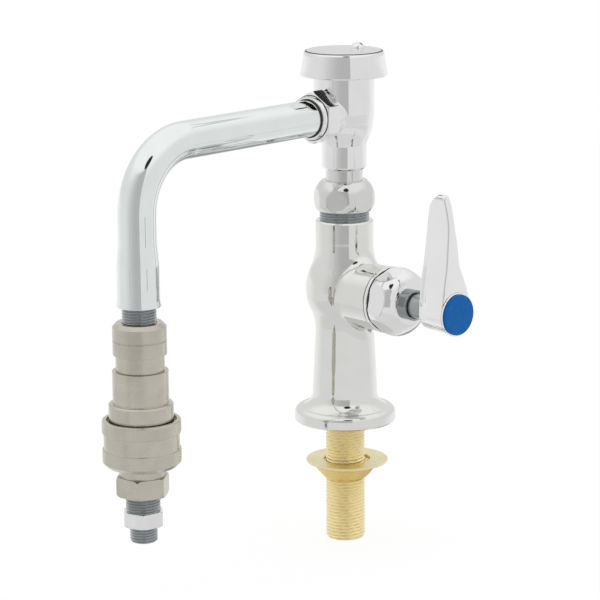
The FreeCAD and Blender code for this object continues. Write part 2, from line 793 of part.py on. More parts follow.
groove_half = (d.shank_thread_pitch - d.shank_thread_land) / 2
thread_groove = spin(shank, "thread_groove", "Z", [
    (d.shank_radius - d.shank_thread_depth, d.shank_chamfer + groove_half),
    (d.shank_radius, d.shank_chamfer),
    (d.shank_radius + d.free_clearance, d.shank_chamfer),
    (d.shank_radius + d.free_clearance, d.shank_chamfer + groove_half * 2),
    (d.shank_radius, d.shank_chamfer + groove_half * 2),
], cut=True)
thread_count = int((SIZES["shank_drop"] - SIZES["shank_chamfer"]) / SIZES["shank_thread_pitch"])
stack(shank, "thread", thread_groove, thread_groove.Profile[0], d.shank_thread_pitch, thread_count)

shift_angle = "(Sizes.washer_shift_angle * 1 deg)"
ring("deck_washer", d.washer_hole_radius, d.washer_radius, ZERO, d.washer_thickness,
     x=Size(0, "Sizes.washer_shift * cos%s" % shift_angle),
     y=Size(0, "Sizes.washer_shift * sin%s" % shift_angle),
     z=-(d.deck_grip + d.washer_thickness))

locknut = new_body("locknut", z=-(d.deck_grip + d.washer_thickness + d.locknut_height))
rim_start = d.locknut_height - d.locknut_rim
spin(locknut, "blank", "Z", [
    (d.shank_radius, ZERO),
    (d.locknut_end_radius, ZERO),
    (d.locknut_radius - d.locknut_step, rim_start),
    (d.locknut_radius, rim_start),
    (d.locknut_radius, d.locknut_height),
    (d.shank_radius, d.locknut_height),
])
flute_sketch = new_sketch(locknut, "flute_profile", "XY_Plane")
draw_circle(flute_sketch, d.locknut_radius + d.locknut_flute_radius - d.locknut_flute_depth, ZERO,
            d.locknut_flute_radius)
flute = push(locknut, "flute", flute_sketch, d.locknut_height * 3)
repeat(locknut, "flutes", flute, flute_sketch, 12)


# Base body: turned column, side branch, cartridge bore and water passages

base = new_body("base_body")
outlet_bore_radius = d.swivel_spigot_radius + d.running_clearance
spin(base, "column", "Z", [
    (d.shank_radius, ZERO),
    (d.flange_radius - d.flange_edge_chamfer, ZERO),
    (d.flange_radius, d.flange_edge_chamfer),
    (d.flange_radius, d.flange_height - d.flange_edge_radius, d.flange_edge_radius, 1),
    (d.flange_radius - d.flange_edge_radius, d.flange_height),
    (d.foot_blend_start, d.flange_height, d.foot_blend_radius, -1),
    (d.foot_radius, d.foot_top),
    (d.waist_radius, d.waist_height, d.bulge_blend_arc, -1),
    (d.bulge_lower_radius, d.bulge_lower_height, d.bulge_lower_arc, 1),
    (d.bulge_radius, d.bulge_height, d.bulge_upper_arc, 1),
    (d.bulge_upper_radius, d.bulge_upper_height, d.bulge_blend_arc, -1),
    (d.neck_radius, d.neck_start),
    (d.neck_radius, d.neck_top - d.neck_edge_chamfer),
    (d.neck_radius - d.neck_edge_chamfer, d.neck_top),
    (d.spigot_radius, d.neck_top),
    (d.spigot_radius, d.spigot_top),
    (outlet_bore_radius, d.spigot_top),
    (outlet_bore_radius, d.outlet_cavity_top),
    (d.outlet_cavity_radius, d.outlet_cavity_top),
    (d.outlet_cavity_radius, d.outlet_cavity_bottom),
    (ZERO, d.outlet_cavity_bottom),
    (ZERO, d.inlet_bore_top),
    (d.inlet_bore_radius, d.inlet_bore_top),
    (d.inlet_bore_radius, d.shank_engagement),
    (d.shank_radius, d.shank_engagement),
])
branch = spin(base, "branch", "X", [
    (ZERO, d.branch_root),
    (d.branch_radius, d.branch_root),
    (d.branch_radius, d.branch_reach - d.branch_edge_chamfer),
    (d.branch_radius - d.branch_edge_chamfer, d.branch_reach),
    (ZERO, d.branch_reach),
], height=d.valve_height)
doc.recompute()


def on_seam(edge):
    """True where the branch's cylinder meets the column."""
    samples = edge.discretize(9)
    off_axis = [math.hypot(point.y, point.z - SIZES["valve_height"]) for point in samples]
    on_cylinder = all(abs(distance - SIZES["branch_radius"]) < 0.01 for distance in off_axis)
    heights = [point.z for point in samples]
    end_face = SIZES["branch_reach"] - SIZES["branch_edge_chamfer"] * 2
    return (on_cylinder and max(point.x for point in samples) < end_face
            and max(heights) - min(heights) > SIZES["running_clearance"])


seam = ["Edge%d" % number for number, edge in enumerate(branch.Shape.Edges, 1) if on_seam(edge)]
blend = base.newObject("PartDesign::Fillet", "base_body_blend")
blend.Base = (branch, seam)
blend.setExpression("Radius", d.branch_blend_radius.text)
base.Tip = blend
spin(base, "chamber", "X", [
    (ZERO, -d.inlet_passage_offset),
    (d.inlet_port_radius, -d.inlet_passage_offset),
    (d.inlet_port_radius, -d.seat_setback),
    (d.cartridge_bore_radius, -d.seat_setback),
    (d.cartridge_bore_radius, d.cartridge_shoulder - d.seat_setback),
    (d.bonnet_thread_radius, d.cartridge_shoulder - d.seat_setback),
    (d.bonnet_thread_radius, d.branch_reach),
    (ZERO, d.branch_reach),
], height=d.valve_height, cut=True)
inlet_rise = (d.valve_height - d.inlet_bore_top) * 2
passage = new_sketch(base, "inlet_passage_profile", "XY_Plane", d.inlet_bore_top)
draw_circle(passage, -d.inlet_passage_offset, ZERO, d.inlet_passage_radius)
push(base, "inlet_passage", passage, inlet_rise)
outlet_passage_middle = (d.outlet_passage_bottom + d.outlet_passage_top) / 2
passage = new_sketch(base, "outlet_passage_profile", "XY_Plane", outlet_passage_middle)
draw_circle(passage, d.outlet_passage_offset, ZERO, d.outlet_passage_radius)
push(base, "outlet_passage", passage, d.outlet_passage_top - d.outlet_passage_bottom)


# Ceramic cartridge, all lengths from its seat

disc_start = d.seat_seal_thickness
moving_start = disc_start + d.disc_thickness
driver_start = moving_start + d.disc_thickness
collar_start = driver_start + d.driver_length
thrust_face = collar_start + d.stem_collar_length
stem_bore_radius = d.stem_radius + d.running_clearance

ring("cartridge_seat_seal", d.seat_seal_inner, d.disc_radius, ZERO, d.seat_seal_thickness, axis="X", **valve)


def ceramic_disc(label, start, radius, turn):
    disc = new_body(label, **valve)
    spin(disc, "blank", "X", [(ZERO, start), (radius, start), (radius, start + d.disc_thickness),
                              (ZERO, start + d.disc_thickness)])
    ports = new_sketch(disc, "ports_profile", "YZ_Plane", start + d.disc_thickness / 2, turn)
    draw_circle(ports, d.disc_port_offset, ZERO, d.disc_port_radius)
    draw_circle(ports, -d.disc_port_offset, ZERO, d.disc_port_radius)
    push(disc, "ports", ports, d.disc_thickness * 2)
    return disc


ceramic_disc("fixed_ceramic_disc", disc_start, d.disc_radius, sized(90))
ceramic_disc("moving_ceramic_disc", moving_start, d.disc_radius - d.free_clearance, None)

housing = new_body("cartridge_housing", **valve)
spin(housing, "shell", "X", [
    (d.disc_radius, disc_start),
    (d.cartridge_bore_radius, disc_start),
    (d.cartridge_bore_radius, d.cartridge_shoulder),
    (d.housing_shoulder_radius, d.cartridge_shoulder),
    (d.housing_shoulder_radius, d.cartridge_shoulder + d.housing_shoulder_thickness),
    (d.housing_neck_radius, d.cartridge_shoulder + d.housing_shoulder_thickness),
    (d.housing_neck_radius, d.housing_length),
    (stem_bore_radius, d.housing_length),
    (stem_bore_radius, thrust_face),
    (d.disc_radius, thrust_face),
])
window = new_sketch(housing, "window_profile", "XY_Plane")
window_half = d.window_width / 2
draw(window, box_points(d.window_start, d.window_start + d.window_length, -window_half, window_half))
push(housing, "windows", window, d.cartridge_bore_radius * 3)
groove_floor = d.cartridge_bore_radius - d.housing_o_ring_wire
spin(housing, "seal_groove", "X", [
    (groove_floor, d.housing_o_ring_offset - d.housing_o_ring_wire / 2),
    (d.cartridge_bore_radius + 1, d.housing_o_ring_offset - d.housing_o_ring_wire / 2),
    (d.cartridge_bore_radius + 1, d.housing_o_ring_offset + d.housing_o_ring_wire / 2),
    (groove_floor, d.housing_o_ring_offset + d.housing_o_ring_wire / 2),
], cut=True)
group("cartridge_o_ring", [torus("cartridge_o_ring_torus", groove_floor, d.cartridge_bore_radius,
                                 d.housing_o_ring_offset, "X")], **valve)

# Stem with the bar that drives the moving disc

stem = new_body("stem", **valve)
stem_grooves = []
for step in (0, 1):
    start = d.stem_ring_first + d.stem_ring_pitch * step
    stem_grooves += [(d.stem_radius, start), (d.stem_ring_groove_floor, start),
                     (d.stem_ring_groove_floor, start + d.stem_ring_groove_width),
                     (d.stem_radius, start + d.stem_ring_groove_width)]
spin(stem, "rod", "X", [
    (ZERO, collar_start),
    (d.stem_collar_radius, collar_start),
    (d.stem_collar_radius, thrust_face),
    (d.stem_radius, thrust_face),
] + stem_grooves + [
    (d.stem_radius, d.housing_length),
    (d.clip_groove_floor, d.housing_length),
    (d.clip_groove_floor, d.housing_length + d.clip_thickness),
    (d.stem_radius, d.housing_length + d.clip_thickness),
    (d.stem_radius, d.stem_length),
    (d.screw_radius, d.stem_length),
    (d.screw_radius, d.stem_length - d.screw_length),
    (ZERO, d.stem_length - d.screw_length),
])
bar = new_sketch(stem, "driver_profile", "YZ_Plane", driver_start + d.driver_length / 2)
draw(bar, box_points(-d.driver_width / 2, d.driver_width / 2, -d.driver_span / 2, d.driver_span / 2))
push(stem, "driver", bar, d.driver_length, cut=False)

stem_rings = []
for step in (0, 1):
    middle = d.stem_ring_first + d.stem_ring_pitch * step + d.stem_ring_groove_width / 2
    stem_rings.append(torus("stem_o_ring_%d" % step, d.stem_ring_groove_floor,
                            stem_bore_radius - d.seal_clearance, middle, "X"))
group("stem_o_rings", stem_rings, **valve)

ring("stem_clip", d.clip_groove_floor, d.clip_radius, d.housing_length, d.clip_thickness, axis="X", **valve)
sleeve_start = d.housing_length + d.clip_thickness + d.stem_sleeve_gap
ring("stem_sleeve", d.stem_radius, d.stem_sleeve_radius, sleeve_start, d.handle_start - sleeve_start,
     axis="X", **valve)


# Bonnet and its gasket

branch_face = d.branch_reach + d.seat_setback
gasket_end = branch_face + d.bonnet_gasket_thickness
ring("bonnet_gasket", d.bonnet_thread_radius, d.bonnet_gasket_radius, branch_face, d.bonnet_gasket_thickness,
     axis="X", **valve)

bonnet = new_body("bonnet", **valve)
bonnet_start = d.cartridge_shoulder + d.housing_shoulder_thickness
flange_end = gasket_end + d.bonnet_flange_thickness
spin(bonnet, "shell", "X", [
    (d.housing_neck_radius, bonnet_start),
    (d.bonnet_thread_radius, bonnet_start),
    (d.bonnet_thread_radius, gasket_end),
    (d.bonnet_flange_radius, gasket_end),
    (d.bonnet_flange_radius, flange_end),
    (d.bonnet_groove_radius, flange_end),
    (d.bonnet_groove_radius, flange_end + d.bonnet_groove_width, d.bonnet_barrel_arc, 1),
    (d.bonnet_barrel_radius, d.bonnet_barrel_at, d.bonnet_dome_arc, 1),
    (d.bonnet_dome_end_radius, d.bonnet_dome_end),
    (d.bonnet_neck_radius, d.bonnet_dome_end),
    (d.bonnet_neck_radius, d.bonnet_end),
    (d.stem_sleeve_radius + d.free_clearance, d.bonnet_end),
    (d.stem_sleeve_radius + d.free_clearance, sleeve_start),
    (d.housing_neck_radius, sleeve_start),
])
hexagon(bonnet, "flats", "YZ_Plane", d.bonnet_across_flats, flange_end + d.bonnet_groove_width,
        d.bonnet_end - flange_end, d.bonnet_flat_turn)


# Lever handle, screw and index button

lever = new_body("lever_handle", **valve)
sections = []
height = ZERO
for number in range(1, len(LEVER) + 1):
    height = height + getattr(d, "lever_rise_%02d" % number)
    back = d.handle_start + getattr(d, "lever_back_%02d" % number)
    front = d.handle_start + getattr(d, "lever_front_%02d" % number)
    half = getattr(d, "lever_half_%02d" % number)
    corner = d.lever_corner_radius
    section = new_sketch(lever, "section_%02d" % number, "XY_Plane", height)
    draw(section, [
        (back + corner, -half), (front - corner, -half, corner, 1),
        (front, corner - half), (front, half - corner, corner, 1),
        (front - corner, half), (back + corner, half, corner, 1),
        (back, half - corner), (back, corner - half, corner, 1),
    ])
    sections.append(section)
blade = lever.newObject("PartDesign::AdditiveLoft", "lever_handle_blade")
blade.Profile = sections[0]
blade.Sections = sections[1:]
blade.Ruled = False
lever.Tip = blade
recess_start = d.hub_end - d.hub_recess_depth
spin(lever, "hub", "X", [
    (ZERO, d.handle_start),
    (d.hub_back_radius - d.hub_back_round, d.handle_start, d.hub_back_round, 1),
    (d.hub_back_radius, d.handle_start + d.hub_back_round),
    (d.hub_radius, d.hub_end),
    (ZERO, d.hub_end),
])
sleeve_room = d.stem_sleeve_radius + d.free_clearance
spin(lever, "bore", "X", [
    (ZERO, d.handle_start - d.hub_back_round),
    (sleeve_room, d.handle_start - d.hub_back_round),
    (sleeve_room, d.handle_start),
    (d.stem_radius, d.handle_start),
    (d.stem_radius, d.stem_length),
    (d.screw_radius, d.stem_length),
    (d.screw_radius, d.stem_length + d.hub_web),
    (d.hub_counterbore_radius, d.stem_length + d.hub_web),
    (d.hub_counterbore_radius, recess_start),
    (d.hub_recess_radius, recess_start),
    (d.hub_recess_radius, d.hub_end),
    (ZERO, d.hub_end),
], cut=True)

screw = new_body("handle_screw", **valve)
head_start = d.stem_length + d.hub_web
spin(screw, "screw", "X", [
    (ZERO, d.stem_length - d.screw_length),
    (d.screw_radius, d.stem_length - d.screw_length),
    (d.screw_radius, head_start),
    (d.screw_head_radius, head_start),
    (d.screw_head_radius, head_start + d.screw_head_height),
    (d.screw_socket_radius, head_start + d.screw_head_height),
    (d.screw_socket_radius, head_start + d.screw_head_height - d.screw_socket_depth),
    (ZERO, head_start + d.screw_head_height - d.screw_socket_depth),
])

button = new_body("index_button", **valve)
button_front = d.hub_end + d.button_proud
spin(button, "disc", "X", [
    (ZERO, recess_start),
    (d.button_skirt_inner, recess_start),
    (d.button_skirt_inner, recess_start - d.button_skirt_length),
    (d.hub_counterbore_radius, recess_start - d.button_skirt_length),
    (d.hub_counterbore_radius, recess_start),
    (d.hub_recess_radius, recess_start),
    (d.hub_recess_radius, button_front - d.button_crown),
    (d.hub_recess_radius - d.button_crown * 2, button_front),
    (ZERO, button_front + d.button_crown),
])


# Coupling nut, swivel washer and the tailpiece that turns in the base

nut = new_body("coupling_nut", z=d.nut_start)
lip_start = d.nut_top - d.nut_lip - d.nut_start
spin(nut, "blank", "Z", [
    (d.spigot_radius, ZERO),
    (d.nut_bottom_radius, ZERO, d.nut_lower_arc, 1),
    (d.nut_barrel_radius, d.nut_barrel_at - d.nut_start),
    (d.nut_barrel_radius, d.nut_barrel_at - d.nut_start + d.nut_barrel_width, d.nut_upper_arc, 1),
    (d.nut_top_radius, d.nut_top - d.nut_start),
    (d.collar_radius + d.free_clearance, d.nut_top - d.nut_start),
    (d.collar_radius + d.free_clearance, lip_start),
    (d.spigot_radius, lip_start),
])
hexagon(nut, "flats", "XY_Plane", d.nut_across_flats, ZERO, d.nut_top - d.nut_start)

washer_bottom = d.spigot_top + d.swivel_flange_height
ring("swivel_washer", d.collar_radius + d.free_clearance, d.spigot_radius, ZERO, d.swivel_washer_thickness,
     z=washer_bottom)

tail = new_body("swivel_tailpiece", z=d.swivel_spigot_bottom, yaw=yaw)


def above_tail(height):
    return height - d.swivel_spigot_bottom


tail_grooves = []
for step in (0, 1):
    start = above_tail(d.swivel_ring_first + d.swivel_ring_pitch * step)
    tail_grooves += [(d.swivel_spigot_radius, start), (d.swivel_ring_groove_floor, start),
                     (d.swivel_ring_groove_floor, start + d.swivel_ring_groove_width),
                     (d.swivel_spigot_radius, start + d.swivel_ring_groove_width)]
spin(tail, "tube", "Z", [
    (d.swivel_bore_radius, ZERO),
    (d.swivel_spigot_radius - d.swivel_spigot_chamfer, ZERO),
    (d.swivel_spigot_radius, d.swivel_spigot_chamfer),
] + tail_grooves + [
    (d.swivel_spigot_radius, above_tail(d.spigot_top)),
    (d.swivel_flange_radius, above_tail(d.spigot_top)),
    (d.swivel_flange_radius, above_tail(washer_bottom)),
    (d.collar_radius, above_tail(washer_bottom)),
    (d.collar_radius, above_tail(d.breaker_bottom)),
    (d.tail_thread_radius, above_tail(d.breaker_bottom)),
    (d.tail_thread_radius, above_tail(d.tail_thread_top)),
    (d.swivel_bore_radius, above_tail(d.tail_thread_top)),
])
tail_rings = []
for step in (0, 1):
    middle = above_tail(d.swivel_ring_first + d.swivel_ring_pitch * step) + d.swivel_ring_groove_width / 2
    tail_rings.append(torus("tailpiece_o_ring_%d" % step, d.swivel_ring_groove_floor,
                            outlet_bore_radius - d.seal_clearance, middle))
group("tailpiece_o_rings", tail_rings, z=d.swivel_spigot_bottom)


# Vacuum breaker: body, float, vent and hood

breaker = new_body("breaker_body", z=d.breaker_bottom, yaw=yaw)


def above_breaker(height):
    return height - d.breaker_bottom


outlet_height = above_breaker(d.arm_height)
spin(breaker, "shell", "Z", [
    (ZERO, ZERO),
    (d.breaker_neck_radius - d.breaker_chamfer, ZERO),
    (d.breaker_neck_radius, d.breaker_chamfer),
    (d.breaker_neck_radius, above_breaker(d.breaker_neck_top)),
    (d.breaker_step_radius, above_breaker(d.breaker_step_top), d.breaker_step_arc, 1),
    (d.breaker_shoulder_radius, above_breaker(d.breaker_shoulder_height)),
    (d.breaker_radius, above_breaker(d.breaker_full_height)),
    (d.breaker_radius, above_breaker(d.breaker_top)),
    (ZERO, above_breaker(d.breaker_top)),
])
spin(breaker, "boss", "Y", [
    (ZERO, ZERO),
    (d.outlet_boss_radius, ZERO),
    (d.outlet_boss_radius, d.outlet_boss_reach),
    (ZERO, d.outlet_boss_reach),
], height=outlet_height)
floor = above_breaker(d.breaker_floor)
seat_top = floor + d.breaker_seat_height
spin(breaker, "chamber", "Z", [
    (ZERO, ZERO),
    (d.tail_thread_radius, ZERO),
    (d.tail_thread_radius, above_breaker(d.tail_thread_top)),
    (d.breaker_port_radius, above_breaker(d.tail_thread_top)),
    (d.breaker_port_radius, seat_top),
    (d.breaker_seat_radius, seat_top),
    (d.breaker_seat_radius, floor),
    (d.breaker_floor_radius, floor),
    (d.chamber_radius, above_breaker(d.chamber_full_height)),
    (d.chamber_radius, above_breaker(d.breaker_top)),
    (ZERO, above_breaker(d.breaker_top)),
], cut=True)
spin(breaker, "outlet", "Y", [
    (ZERO, ZERO),
    (d.outlet_bore_radius, ZERO),
    (d.outlet_bore_radius, d.outlet_boss_reach),
    (ZERO, d.outlet_boss_reach),
], height=outlet_height, cut=True)

float_bottom = d.breaker_floor + d.breaker_seat_height
poppet = new_body("float_poppet", z=float_bottom)
head_bottom = d.float_head_bottom - float_bottom
head_top = head_bottom + d.float_head_thickness
seal_top = head_top + d.float_seal_thickness
spin(poppet, "float", "Z", [
    (ZERO, ZERO),
    (d.float_radius, ZERO),
    (d.float_radius, d.float_disc_thickness),
    (d.float_stem_radius, d.float_disc_thickness),
    (d.float_stem_radius, head_bottom),
    (d.float_head_radius, head_bottom),
    (d.float_head_radius, head_top),
    (d.float_stem_radius, head_top),
    (d.float_stem_radius, seal_top),
    (d.float_pin_radius, seal_top),
    (d.float_pin_radius, d.float_top - float_bottom),
    (ZERO, d.float_top - float_bottom),
])
ring("float_seal", d.float_stem_radius, d.float_seal_radius, head_top, d.float_seal_thickness, z=float_bottom)

ring("vent_gasket", d.chamber_radius, d.vent_flange_radius, ZERO, d.vent_gasket_thickness, z=d.breaker_top)
vent = new_body("vent_bonnet", z=d.vent_seat_height, yaw=yaw)


def above_vent(height):
    return height - d.vent_seat_height


flange_bottom = above_vent(d.breaker_top) + d.vent_gasket_thickness
flange_top = flange_bottom + d.vent_flange_thickness
spin(vent, "ring", "Z", [
    (d.vent_bore_radius, ZERO),
    (d.chamber_radius, ZERO),
    (d.chamber_radius, flange_bottom),
    (d.vent_flange_radius, flange_bottom),
    (d.vent_flange_radius, flange_top),
    (d.vent_bore_radius, flange_top),
])
guide_start = above_vent(d.guide_bottom)
rib = new_sketch(vent, "rib_profile", "XY_Plane", guide_start + d.guide_rib_height / 2)
draw(rib, box_points(d.float_stem_radius + d.free_clearance, d.vent_bore_radius + 1, -d.guide_rib_width / 2,
                     d.guide_rib_width / 2))
ribs = push(vent, "rib", rib, d.guide_rib_height, cut=False)
repeat(vent, "ribs", ribs, rib, 3)
guide_bore = d.float_pin_radius + d.running_clearance
spin(vent, "guide", "Z", [
    (guide_bore, guide_start),
    (d.guide_radius, guide_start),
    (d.guide_radius, guide_start + d.guide_height),
    (guide_bore, guide_start + d.guide_height),
])
plate_start = above_vent(d.plate_bottom)
post = new_sketch(vent, "post_profile", "XY_Plane", (flange_top + plate_start) / 2, sized(90))
draw_circle(post, d.post_circle, ZERO, d.post_radius)
posts = push(vent, "post", post, plate_start - flange_top, cut=False)
repeat(vent, "posts", posts, post, 3)
spin(vent, "plate", "Z", [
    (ZERO, plate_start),
    (d.plate_radius, plate_start),
    (d.plate_radius, plate_start + d.plate_thickness),
    (ZERO, plate_start + d.plate_thickness),
])
tapping = new_sketch(vent, "tapping_profile", "XY_Plane", plate_start + d.plate_thickness / 2)
draw_circle(tapping, ZERO, -d.hood_screw_offset, d.hood_screw_radius)
push(vent, "tapping", tapping, d.plate_thickness * 2)

hood = new_body("hood", z=d.hood_lip_height, yaw=yaw)


def above_lip(height):
    return height - d.hood_lip_height


plate_top = d.plate_bottom + d.plate_thickness
spin(hood, "shell", "Z", [
    (d.hood_lip_radius - d.hood_wall, ZERO),
    (d.hood_lip_radius - d.hood_lip_edge / 2, ZERO),
    (d.hood_lip_radius, d.hood_lip_edge),
    (d.hood_side_radius, above_lip(d.hood_side_height), d.hood_edge_arc, 1),
    (d.hood_crest_radius - d.hood_crest_width, above_lip(d.hood_crest_height)),
    (d.hood_groove_radius, above_lip(d.hood_groove_height)),
    (d.hood_groove_radius - d.hood_crest_width, above_lip(d.hood_panel_height)),
    (ZERO, above_lip(d.hood_panel_height)),
    (ZERO, above_lip(plate_top)),
    (d.hood_side_radius - d.hood_wall, above_lip(plate_top)),
])
clearance_hole = new_sketch(hood, "screw_hole_profile", "XY_Plane", above_lip(d.hood_panel_height))
draw_circle(clearance_hole, ZERO, -d.hood_screw_offset, d.hood_screw_radius + d.running_clearance)
push(hood, "screw_hole", clearance_hole, (d.hood_panel_height - plate_top) * 3)

hood_screw = new_body("hood_screw", x=-(d.hood_screw_offset * swing_sine),
                      y=d.hood_screw_offset * swing_cosine, z=d.hood_screw_end, yaw=yaw)
head_bottom = d.hood_panel_height - d.hood_screw_end
spin(hood_screw, "screw", "Z", [
    (ZERO, ZERO),
    (d.hood_screw_radius, ZERO),
    (d.hood_screw_radius, head_bottom),
    (d.hood_screw_head_radius, head_bottom),
    (d.hood_screw_head_radius, head_bottom + d.hood_screw_head_edge, d.hood_screw_head_radius, 1),
    (ZERO, head_bottom + d.hood_screw_head_height),
])
slot = new_sketch(hood_screw, "slot_profile", "XY_Plane", head_bottom + d.hood_screw_head_height)
draw(slot, box_points(-d.hood_screw_head_radius, d.hood_screw_head_radius, -d.hood_screw_slot_width / 2,
                      d.hood_screw_slot_width / 2))
push(hood_screw, "slot", slot, d.hood_screw_slot_depth * 2)


# Outlet nut, gasket, tube and its brazed collar

arm = {"z": d.arm_height, "yaw": yaw}
gasket_face = d.outlet_boss_reach + d.outlet_gasket_thickness
collar_end = gasket_face + d.tube_collar_thickness
outlet_nut = new_body("outlet_nut", **arm)
nut_corner = d.outlet_nut_across_flats * HALF_HEX / 2
spin(outlet_nut, "blank", "Y", [
    (d.outlet_boss_radius, d.outlet_nut_start),
    (nut_corner - d.outlet_nut_chamfer, d.outlet_nut_start),
    (nut_corner, d.outlet_nut_start + d.outlet_nut_chamfer),
    (nut_corner, d.outlet_nut_hex_end - d.outlet_nut_chamfer),
    (nut_corner - d.outlet_nut_chamfer, d.outlet_nut_hex_end),
    (d.outlet_nut_collar_radius, d.outlet_nut_hex_end),
    (d.outlet_nut_end_radius, d.outlet_nut_end),
    (d.tube_radius, d.outlet_nut_end),
    (d.tube_radius, collar_end),
    (d.outlet_boss_radius, collar_end),
])
hexagon(outlet_nut, "flats", "XZ_Plane", d.outlet_nut_across_flats, d.outlet_nut_start,
        d.outlet_nut_hex_end - d.outlet_nut_start, d.outlet_nut_turn, outward=-1)
ring("outlet_gasket", d.outlet_bore_radius, d.outlet_boss_radius, d.outlet_boss_reach,
     d.outlet_gasket_thickness, axis="Y", **arm)
ring("tube_collar", d.tube_radius, d.tube_collar_radius, gasket_face, d.tube_collar_thickness,
     axis="Y", **arm)

leg = {"x": leg_x, "y": leg_y, "yaw": yaw}
tube = new_body("spout_tube", **leg)
tube_back = -(d.reach - gasket_face)
tube_bore = d.tube_radius - d.tube_wall
path = new_sketch(tube, "path", "YZ_Plane")
draw(path, [
    (tube_back, d.arm_height),
    (-d.bend_radius, d.arm_height, d.bend_radius, -1),
    (ZERO, d.arm_height - d.bend_radius),
    (ZERO, d.swage_top),
], closed=False)
section = new_sketch(tube, "section", "XZ_Plane", -tube_back)
draw_circle(section, ZERO, d.arm_height, d.tube_radius)
draw_circle(section, ZERO, d.arm_height, tube_bore)
pipe = tube.newObject("PartDesign::AdditivePipe", "spout_tube_sweep")
pipe.Profile = section
pipe.Spine = (path, ["Edge1", "Edge2", "Edge3"])
tube.Tip = pipe
rim_top = d.tube_end + d.tube_rim_height
spin(tube, "swage", "Z", [
    (d.three_eighths_thread_radius, d.tube_end),
    (d.tube_rim_radius, d.tube_end),
    (d.tube_rim_radius, rim_top),
    (d.swage_radius, rim_top + d.tube_rim_step),
    (d.swage_radius, d.swage_full),
    (d.tube_radius, d.swage_top),
    (tube_bore, d.swage_top),
    (tube_bore, d.tube_end + d.tube_socket_depth),
    (d.three_eighths_thread_radius, d.tube_end + d.tube_socket_depth),
])

nipple = new_body("spout_nipple", z=d.nipple_bottom, **leg)
nipple_length = d.nipple_top - d.nipple_bottom
spin(nipple, "nipple", "Z", [
    (d.nipple_bore_radius, ZERO),
    (d.three_eighths_thread_radius - d.thread_end_chamfer, ZERO),
    (d.three_eighths_thread_radius, d.thread_end_chamfer),
    (d.three_eighths_thread_radius, nipple_length - d.thread_end_chamfer),
    (d.three_eighths_thread_radius - d.thread_end_chamfer, nipple_length),
    (d.nipple_bore_radius, nipple_length),
])


# Quick disconnect on the end of the spout

adaptor = new_body("coupler_adaptor", z=d.adaptor_bottom, **leg)
groove_top = d.adaptor_groove_height + d.adaptor_groove_width
spin(adaptor, "adaptor", "Z", [
    (d.adaptor_socket_radius, ZERO),
    (d.adaptor_neck_radius, ZERO),
    (d.adaptor_neck_radius, d.adaptor_neck_height),
    (d.adaptor_radius, d.adaptor_neck_height),
    (d.adaptor_radius, d.adaptor_groove_height),
    (d.adaptor_radius - d.adaptor_groove_depth, d.adaptor_groove_height),
    (d.adaptor_radius - d.adaptor_groove_depth, groove_top),
    (d.adaptor_radius, groove_top),
    (d.adaptor_radius, d.adaptor_height - d.adaptor_chamfer),
    (d.adaptor_radius - d.adaptor_chamfer, d.adaptor_height),
    (d.three_eighths_thread_radius, d.adaptor_height),
    (d.three_eighths_thread_radius, d.adaptor_thread_start),
    (d.nipple_bore_radius, d.adaptor_thread_start),
    (d.nipple_bore_radius, d.adaptor_socket_depth),
    (d.adaptor_socket_radius, d.adaptor_socket_depth),
])

coupler = new_body("coupler_body", z=d.coupler_bottom, **leg)
coupler_place = dict(leg, z=d.coupler_bottom)
shoulder_top = d.barrel_length + d.shoulder_height
coupler_top = d.adaptor_bottom - d.coupler_bottom
socket_top = coupler_top + d.adaptor_socket_depth
ring_end = d.retaining_ring_at + d.retaining_ring_thickness
seal_end = d.coupler_ring_groove_at + d.coupler_ring_groove_width
web_top = d.coupler_bore_depth + d.web_thickness
spin(coupler, "body", "Z", [
    (d.coupler_bore_radius, ZERO),
    (d.barrel_radius, ZERO),
    (d.barrel_radius, d.retaining_ring_at),
    (d.retaining_ring_floor, d.retaining_ring_at),
    (d.retaining_ring_floor, ring_end),
    (d.barrel_radius, ring_end),
    (d.barrel_radius, d.barrel_length),
    (d.shoulder_radius, d.barrel_length),
    (d.shoulder_radius, shoulder_top),
    (d.shoulder_radius - d.shoulder_chamfer, shoulder_top + d.shoulder_chamfer),
    (d.coupler_radius, shoulder_top + d.shoulder_chamfer),
    (d.coupler_radius, coupler_top),
    (d.adaptor_socket_radius, coupler_top),
    (d.adaptor_socket_radius, socket_top),
    (d.poppet_chamber_radius, socket_top),
    (d.poppet_chamber_radius, web_top),
    (d.web_hole_radius, web_top),
    (d.web_hole_radius, d.coupler_bore_depth),
    (d.coupler_bore_radius, d.coupler_bore_depth),
    (d.coupler_bore_radius, seal_end),
    (d.coupler_ring_groove_radius, seal_end),
    (d.coupler_ring_groove_radius, d.coupler_ring_groove_at),
    (d.coupler_bore_radius, d.coupler_ring_groove_at),
])
ball_hole_radius = d.ball_radius + d.ball_hole_clearance
ball_hole = spin(coupler, "ball_hole", "X", [
    (ZERO, d.coupler_bore_radius - 1),
    (ball_hole_radius, d.coupler_bore_radius - 1),
    (ball_hole_radius, d.barrel_radius + 1),
    (ZERO, d.barrel_radius + 1),
], height=d.ball_height, cut=True)
repeat(coupler, "ball_holes", ball_hole, ball_hole.Profile[0], d.ball_count)

balls = []
ball_circle = d.barrel_radius - d.ball_radius
for number in range(SIZES["ball_count"]):
    ball = doc.addObject("Part::Sphere", "ball_%d" % number)
    ball.setExpression("Radius", d.ball_radius.text)
    angle = "(%d * 360 / Sizes.ball_count * 1 deg)" % number
    ball.setExpression("Placement.Base.x", "%s * cos%s" % (ball_circle.text, angle))
    ball.setExpression("Placement.Base.y", "%s * sin%s" % (ball_circle.text, angle))
    ball.setExpression("Placement.Base.z", d.ball_height.text)
    balls.append(ball)
group("locking_balls", balls, **coupler_place)

